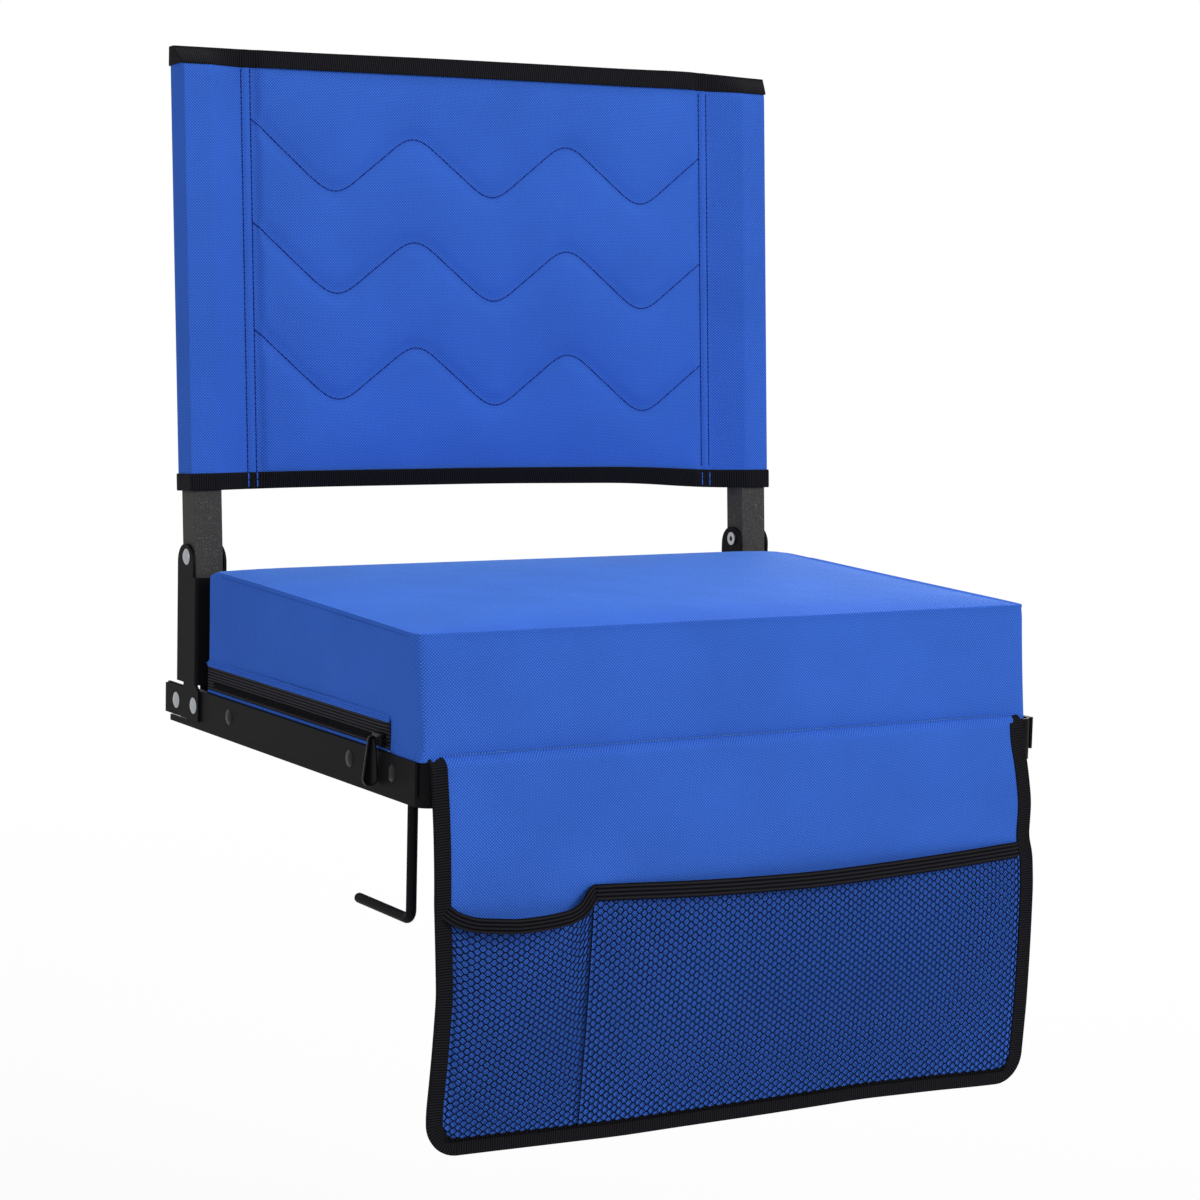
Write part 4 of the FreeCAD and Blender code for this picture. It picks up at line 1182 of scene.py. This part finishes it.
class SEAT_OT_flap(bpy.types.Operator):
    """Build the front flap of cloth with its binding tape"""

    bl_idname = "seat.flap"
    bl_label = "Flap"

    def execute(self, context):
        cells = len(FLAP_ROWS) - 1
        bm = lattice_sheet(108, cells)
        for v in bm.verts:
            v.co = flap_place((v.co.x * 2 - 1) * FLAP_IN_TAPE, FLAP_ROWS[round(v.co.y * cells)])
        bmesh.ops.recalc_face_normals(bm, faces=bm.faces)
        cloth_uv(bm)
        sheet = to_object(bm, "flap", "blue_oxford_cloth", "flap", ("flap_sheet",))
        modify(sheet, "SOLIDIFY", thickness=1.2 * MM, offset=0.0)
        # down the left side, along the bottom and up the right side, in the middle of the tape
        inset_x = FLAP_TAPE / FLAP_CUT[0]
        inset_z = FLAP_TAPE / 2 / FLAP_CUT[1]
        upward = spread([inset_z, (0.11, 12), (0.955, 50), (1.0, 6)])
        across = spread([-1 + inset_x, (-0.9, 12), (0.9, 90), (1 - inset_x, 12)])
        points = [flap_place(across[0], up) for up in reversed(upward)]
        points += [flap_place(aside, inset_z) for aside in across[1:-1]]
        points += [flap_place(across[-1], up) for up in upward]
        bm = band(swept_path(points), tape_section(FLAP_TAPE, FLAP_TAPE_THICK))
        tape = to_object(bm, "flap_tape", "black_binding_tape", "flap", ("flap_binding",))
        smooth_levels(tape, 1)
        return {"FINISHED"}


def pocket_place(side, across, up):
    """Place on a pocket, across and up from 0 to 1; its upper edge is the elastic's."""
    height = FLAP_LOW + POCKET_FOOT + POCKET_HIGH * up
    divider = between(height, DIVIDER)
    left, right = flap_sides(height)
    start, end = (left + POCKET_INSET, divider) if side == "left" else (divider, right - POCKET_INSET)
    x = start + (end - start) * across
    foot = softened(x, FLAP_BOTTOM, FLAP_BOTTOM_SOFT) + POCKET_INSET
    z = foot + (softened(x, MOUTHS[side], MOUTH_SOFT[side]) - foot) * up
    bow = POCKET_BOW[side] * max(0.0, math.sin(math.pi * across)) ** 0.8 * up
    # its outer end lies flat under the flap's tape
    from_tape = abs(x - (start if side == "left" else end))
    lift = POCKET_LIFT * min(1.0, 0.1 + from_tape / POCKET_LIFT_RUN)
    return Vector((x, flap_y(x, z) - lift - bow, z))


class SEAT_OT_pockets(bpy.types.Operator):
    """Build the two net pockets with their elastic and the sewn divider"""

    bl_idname = "seat.pockets"
    bl_label = "Pockets"

    def execute(self, context):
        trim = context.scene.seat_trim
        for side, cut in POCKET_CUT.items():
            net = self.net(side, cut, trim)
            elastic = self.elastic(side, cut[0])
        row = []
        for i in range(56):
            z = DIVIDER[0][0] + i * DIVIDER_STEP
            x = between(z, DIVIDER)
            row.append((Vector((x, flap_y(x, z) - 2 * MM, z)), FRONT))
        runs = stitches([row], 2.6 * MM, 0.6 * MM, 0.3 * MM)
        thread_piece("pocket_divider_stitches", runs, 1.0 * MM, "black_thread", "flap")
        return {"FINISHED"}

    def net(self, side, cut, trim):
        """Knitted net on the bowed face: columns of six-sided cells, each set off by half a cell."""
        columns = round(cut[0] / (trim.cell / 2))
        rows = 2 * round(cut[1] / (trim.cell * NET_CELL_SHAPE))
        bm = lattice_sheet(columns, rows)
        # a join stays between two cells of a column, and goes where the next column has one
        gone = []
        for edge in bm.edges:
            a, b = (v.co for v in edge.verts)
            i, j = round(min(a.x, b.x) * columns), round(a.y * rows)
            if abs(a.y - b.y) < 1e-6 and 0 < j < rows and (i + j) % 2:
                gone.append(edge)
        bmesh.ops.dissolve_edges(bm, edges=gone, use_verts=False)
        # the net ends behind the elastic, a little below its upper edge
        reach = 1 - ELASTIC_HIGH[side] * 0.7 / cut[1]
        for v in bm.verts:
            i, j = round(v.co.x * columns), round(v.co.y * rows)
            shift = (1 - NET_JOIN) / 2 * (-1 if (i + j) % 2 else 1) if 0 < i < columns else 0.0
            v.co = pocket_place(side, (i + shift) / columns, v.co.y * reach)
        piece = to_object(bm, "net_" + side, "black_net_yarn", "flap", ("pocket_net_" + side,))
        modify(piece, "WIREFRAME", thickness=trim.strand, use_even_offset=False, use_boundary=True)
        return piece

    def elastic(self, side, width):
        """Ribbed elastic along a pocket's mouth."""
        wide = ELASTIC_HIGH[side] / 2
        count = int(width / (2.5 * MM))
        edge = swept_path([pocket_place(side, i / count, 1.0) for i in range(count + 1)])
        path = [(point - way * math.copysign(wide, way.z), way, out) for point, way, out in edge]
        ribs = [(-wide, -0.7 * MM), (-wide, 0.5 * MM)]
        for i in range(ELASTIC_RIBS):
            z = -wide + 2 * wide * (i + 0.5) / ELASTIC_RIBS
            for aside, high in ((-0.42, 0.3), (-0.2, 1.1), (0.2, 1.1), (0.42, 0.3)):
                ribs.append((z + aside * wide / 2, high * MM))
        ribs += [(wide, 0.5 * MM), (wide, -0.7 * MM)]
        nodes = ("pocket_trim_" + side,)
        return to_object(
            band(path, ribs), "elastic_" + side, "black_ribbed_elastic", "flap", nodes
        )


# Stage

FLOOR_HEIGHT = -0.45
LIGHTS_AIM = Vector((0, -0.2, 0.1))
CAMERA_PLACE = Vector((-1.1699, -2.1252, 0.3628))
CAMERA_YAW = math.radians(31.28)
CAMERA_PITCH = math.radians(6.84)
CAMERA_ROLL = math.radians(-1.40)
CAMERA_LENS = 92.34
CAMERA_SHIFT = (-0.0013, 0.0135)


def straight_rays(tree):
    """Socket that is 1 where the camera, a gloss or a glass sees a surface, and 0 for the light that it gives."""
    seen = add(tree, "ShaderNodeLightPath")
    straight = seen.outputs["Is Camera Ray"]
    for kind in ("Is Glossy Ray", "Is Transmission Ray"):
        either = add(tree, "ShaderNodeMath", {"operation": "MAXIMUM"}, {0: straight, 1: seen.outputs[kind]})
        straight = either.outputs[0]
    return straight


class SEAT_OT_stage(bpy.types.Operator):
    """Set the floor, the soft lights, the white surroundings and the camera"""

    bl_idname = "seat.stage"
    bl_label = "Stage"

    def execute(self, context):
        scene = context.scene
        scene.view_settings.view_transform = "Standard"
        self.surroundings(scene)
        self.floor()
        for name, place, size, power in (
            ("key_light", (2.4, -4.2, 2.1), 2.4, 126.0),
            ("fill_light", (-2.8, -1.2, 1.2), 2.2, 18.0),
            ("top_light", (0.4, 0.4, 2.5), 2.0, 50.0),
            ("rim_light", (2.0, 1.8, 1.1), 1.4, 34.0),
        ):
            lamp = bpy.data.lights.new(name, "AREA")
            lamp.size = size
            lamp.energy = power
            holder = linked(name, lamp)
            holder.location = place
            holder.rotation_euler = (LIGHTS_AIM - Vector(place)).to_track_quat("-Z", "Y").to_euler()
        self.camera(scene)
        return {"FINISHED"}

    def surroundings(self, scene):
        """White to the camera, to gloss and through glass; a softer white for the light that it gives."""
        scene.world = bpy.data.worlds.new("white_studio")
        tree = empty_tree(scene.world)
        strength = add(
            tree, "ShaderNodeMapRange", {"To Min": 0.42, "To Max": 1.0}, {"Value": straight_rays(tree)}
        )
        sky = add(
            tree, "ShaderNodeBackground", {"Color": (1, 1, 1, 1)}, {"Strength": strength.outputs[0]}
        )
        add(tree, "ShaderNodeOutputWorld", links={"Surface": sky.outputs[0]})

    def floor(self):
        """Pale floor that fades to white away from the seat."""
        bm = bmesh.new()
        bmesh.ops.create_grid(bm, x_segments=8, y_segments=8, size=30.0)
        bmesh.ops.translate(bm, verts=bm.verts, vec=(0, 0, FLOOR_HEIGHT))
        mesh = bpy.data.meshes.new("floor")
        bm.to_mesh(mesh)
        bm.free()
        floor = linked("floor", mesh)
        made = bpy.data.materials.new("pale_studio_floor")
        tree = empty_tree(made)
        place = add(tree, "ShaderNodeTexCoord")
        away = add(tree, "ShaderNodeVectorMath", {"operation": "LENGTH"}, {0: place.outputs["Object"]})
        far = add(
            tree, "ShaderNodeMapRange", {"From Min": 0.6, "From Max": 2.2, "To Min": 0.86},
            {"Value": away.outputs["Value"]},
        )
        matt = add(tree, "ShaderNodeBsdfDiffuse", {"Color": linear("#D6D6D6") + (1,)})
        white = add(tree, "ShaderNodeEmission", {"Color": (1, 1, 1, 1), "Strength": 1.0})
        straight = add(
            tree, "ShaderNodeMath", {"operation": "MULTIPLY"}, {0: far.outputs[0], 1: straight_rays(tree)}
        )
        both = add(
            tree, "ShaderNodeMixShader", None, {0: straight.outputs[0], 1: matt.outputs[0], 2: white.outputs[0]}
        )
        add(tree, "ShaderNodeOutputMaterial", links={"Surface": both.outputs[0]})
        mesh.materials.append(made)

    def camera(self, scene):
        """Camera at the photograph's place, turned and shifted as the photograph is."""
        forward = Vector((
            math.sin(CAMERA_YAW) * math.cos(CAMERA_PITCH),
            math.cos(CAMERA_YAW) * math.cos(CAMERA_PITCH),
            -math.sin(CAMERA_PITCH),
        ))
        level = Vector((math.cos(CAMERA_YAW), -math.sin(CAMERA_YAW), 0.0))
        down = forward.cross(level)
        right = math.cos(CAMERA_ROLL) * level + math.sin(CAMERA_ROLL) * down
        down = math.cos(CAMERA_ROLL) * down - math.sin(CAMERA_ROLL) * level
        turned = Matrix((right, -down, -forward)).transposed().to_4x4()
        lens = bpy.data.cameras.new("photo_camera")
        lens.lens = CAMERA_LENS
        lens.sensor_width = 36.0
        lens.shift_x, lens.shift_y = CAMERA_SHIFT
        holder = linked("photo_camera", lens)
        holder.matrix_world = Matrix.Translation(CAMERA_PLACE) @ turned
        scene.camera = holder


OPERATORS = (
    SEAT_OT_steel, SEAT_OT_cushion, SEAT_OT_zip, SEAT_OT_back, SEAT_OT_flap, SEAT_OT_pockets, SEAT_OT_stage,
)


class SEAT_PT_panel(bpy.types.Panel):
    """Sizes, colours and building steps of the seat"""

    bl_idname = "SEAT_PT_panel"
    bl_label = "Stadium seat"
    bl_space_type = "VIEW_3D"
    bl_region_type = "UI"
    bl_category = "Seat"

    def draw(self, context):
        for group in (context.scene.seat_cloth, context.scene.seat_trim, context.scene.seat_paint):
            box = self.layout.box()
            for name in group.__annotations__:
                box.prop(group, name)
        for operator in OPERATORS:
            self.layout.operator(operator.bl_idname)


CLASSES = (SeatCloth, SeatTrim, SeatPaint) + OPERATORS + (SEAT_PT_panel,)


def register():
    for made in CLASSES:
        bpy.utils.register_class(made)
    bpy.types.Scene.seat_cloth = PointerProperty(type=SeatCloth)
    bpy.types.Scene.seat_trim = PointerProperty(type=SeatTrim)
    bpy.types.Scene.seat_paint = PointerProperty(type=SeatPaint)


def unregister():
    del bpy.types.Scene.seat_paint
    del bpy.types.Scene.seat_trim
    del bpy.types.Scene.seat_cloth
    for made in reversed(CLASSES):
        bpy.utils.unregister_class(made)


def main():
    """Builds every piece and the stage."""
    register()
    bpy.ops.seat.steel()
    bpy.ops.seat.cushion()
    bpy.ops.seat.zip()
    bpy.ops.seat.back()
    bpy.ops.seat.flap()
    bpy.ops.seat.pockets()
    bpy.ops.seat.stage()


if __name__ == "__main__":
    main()
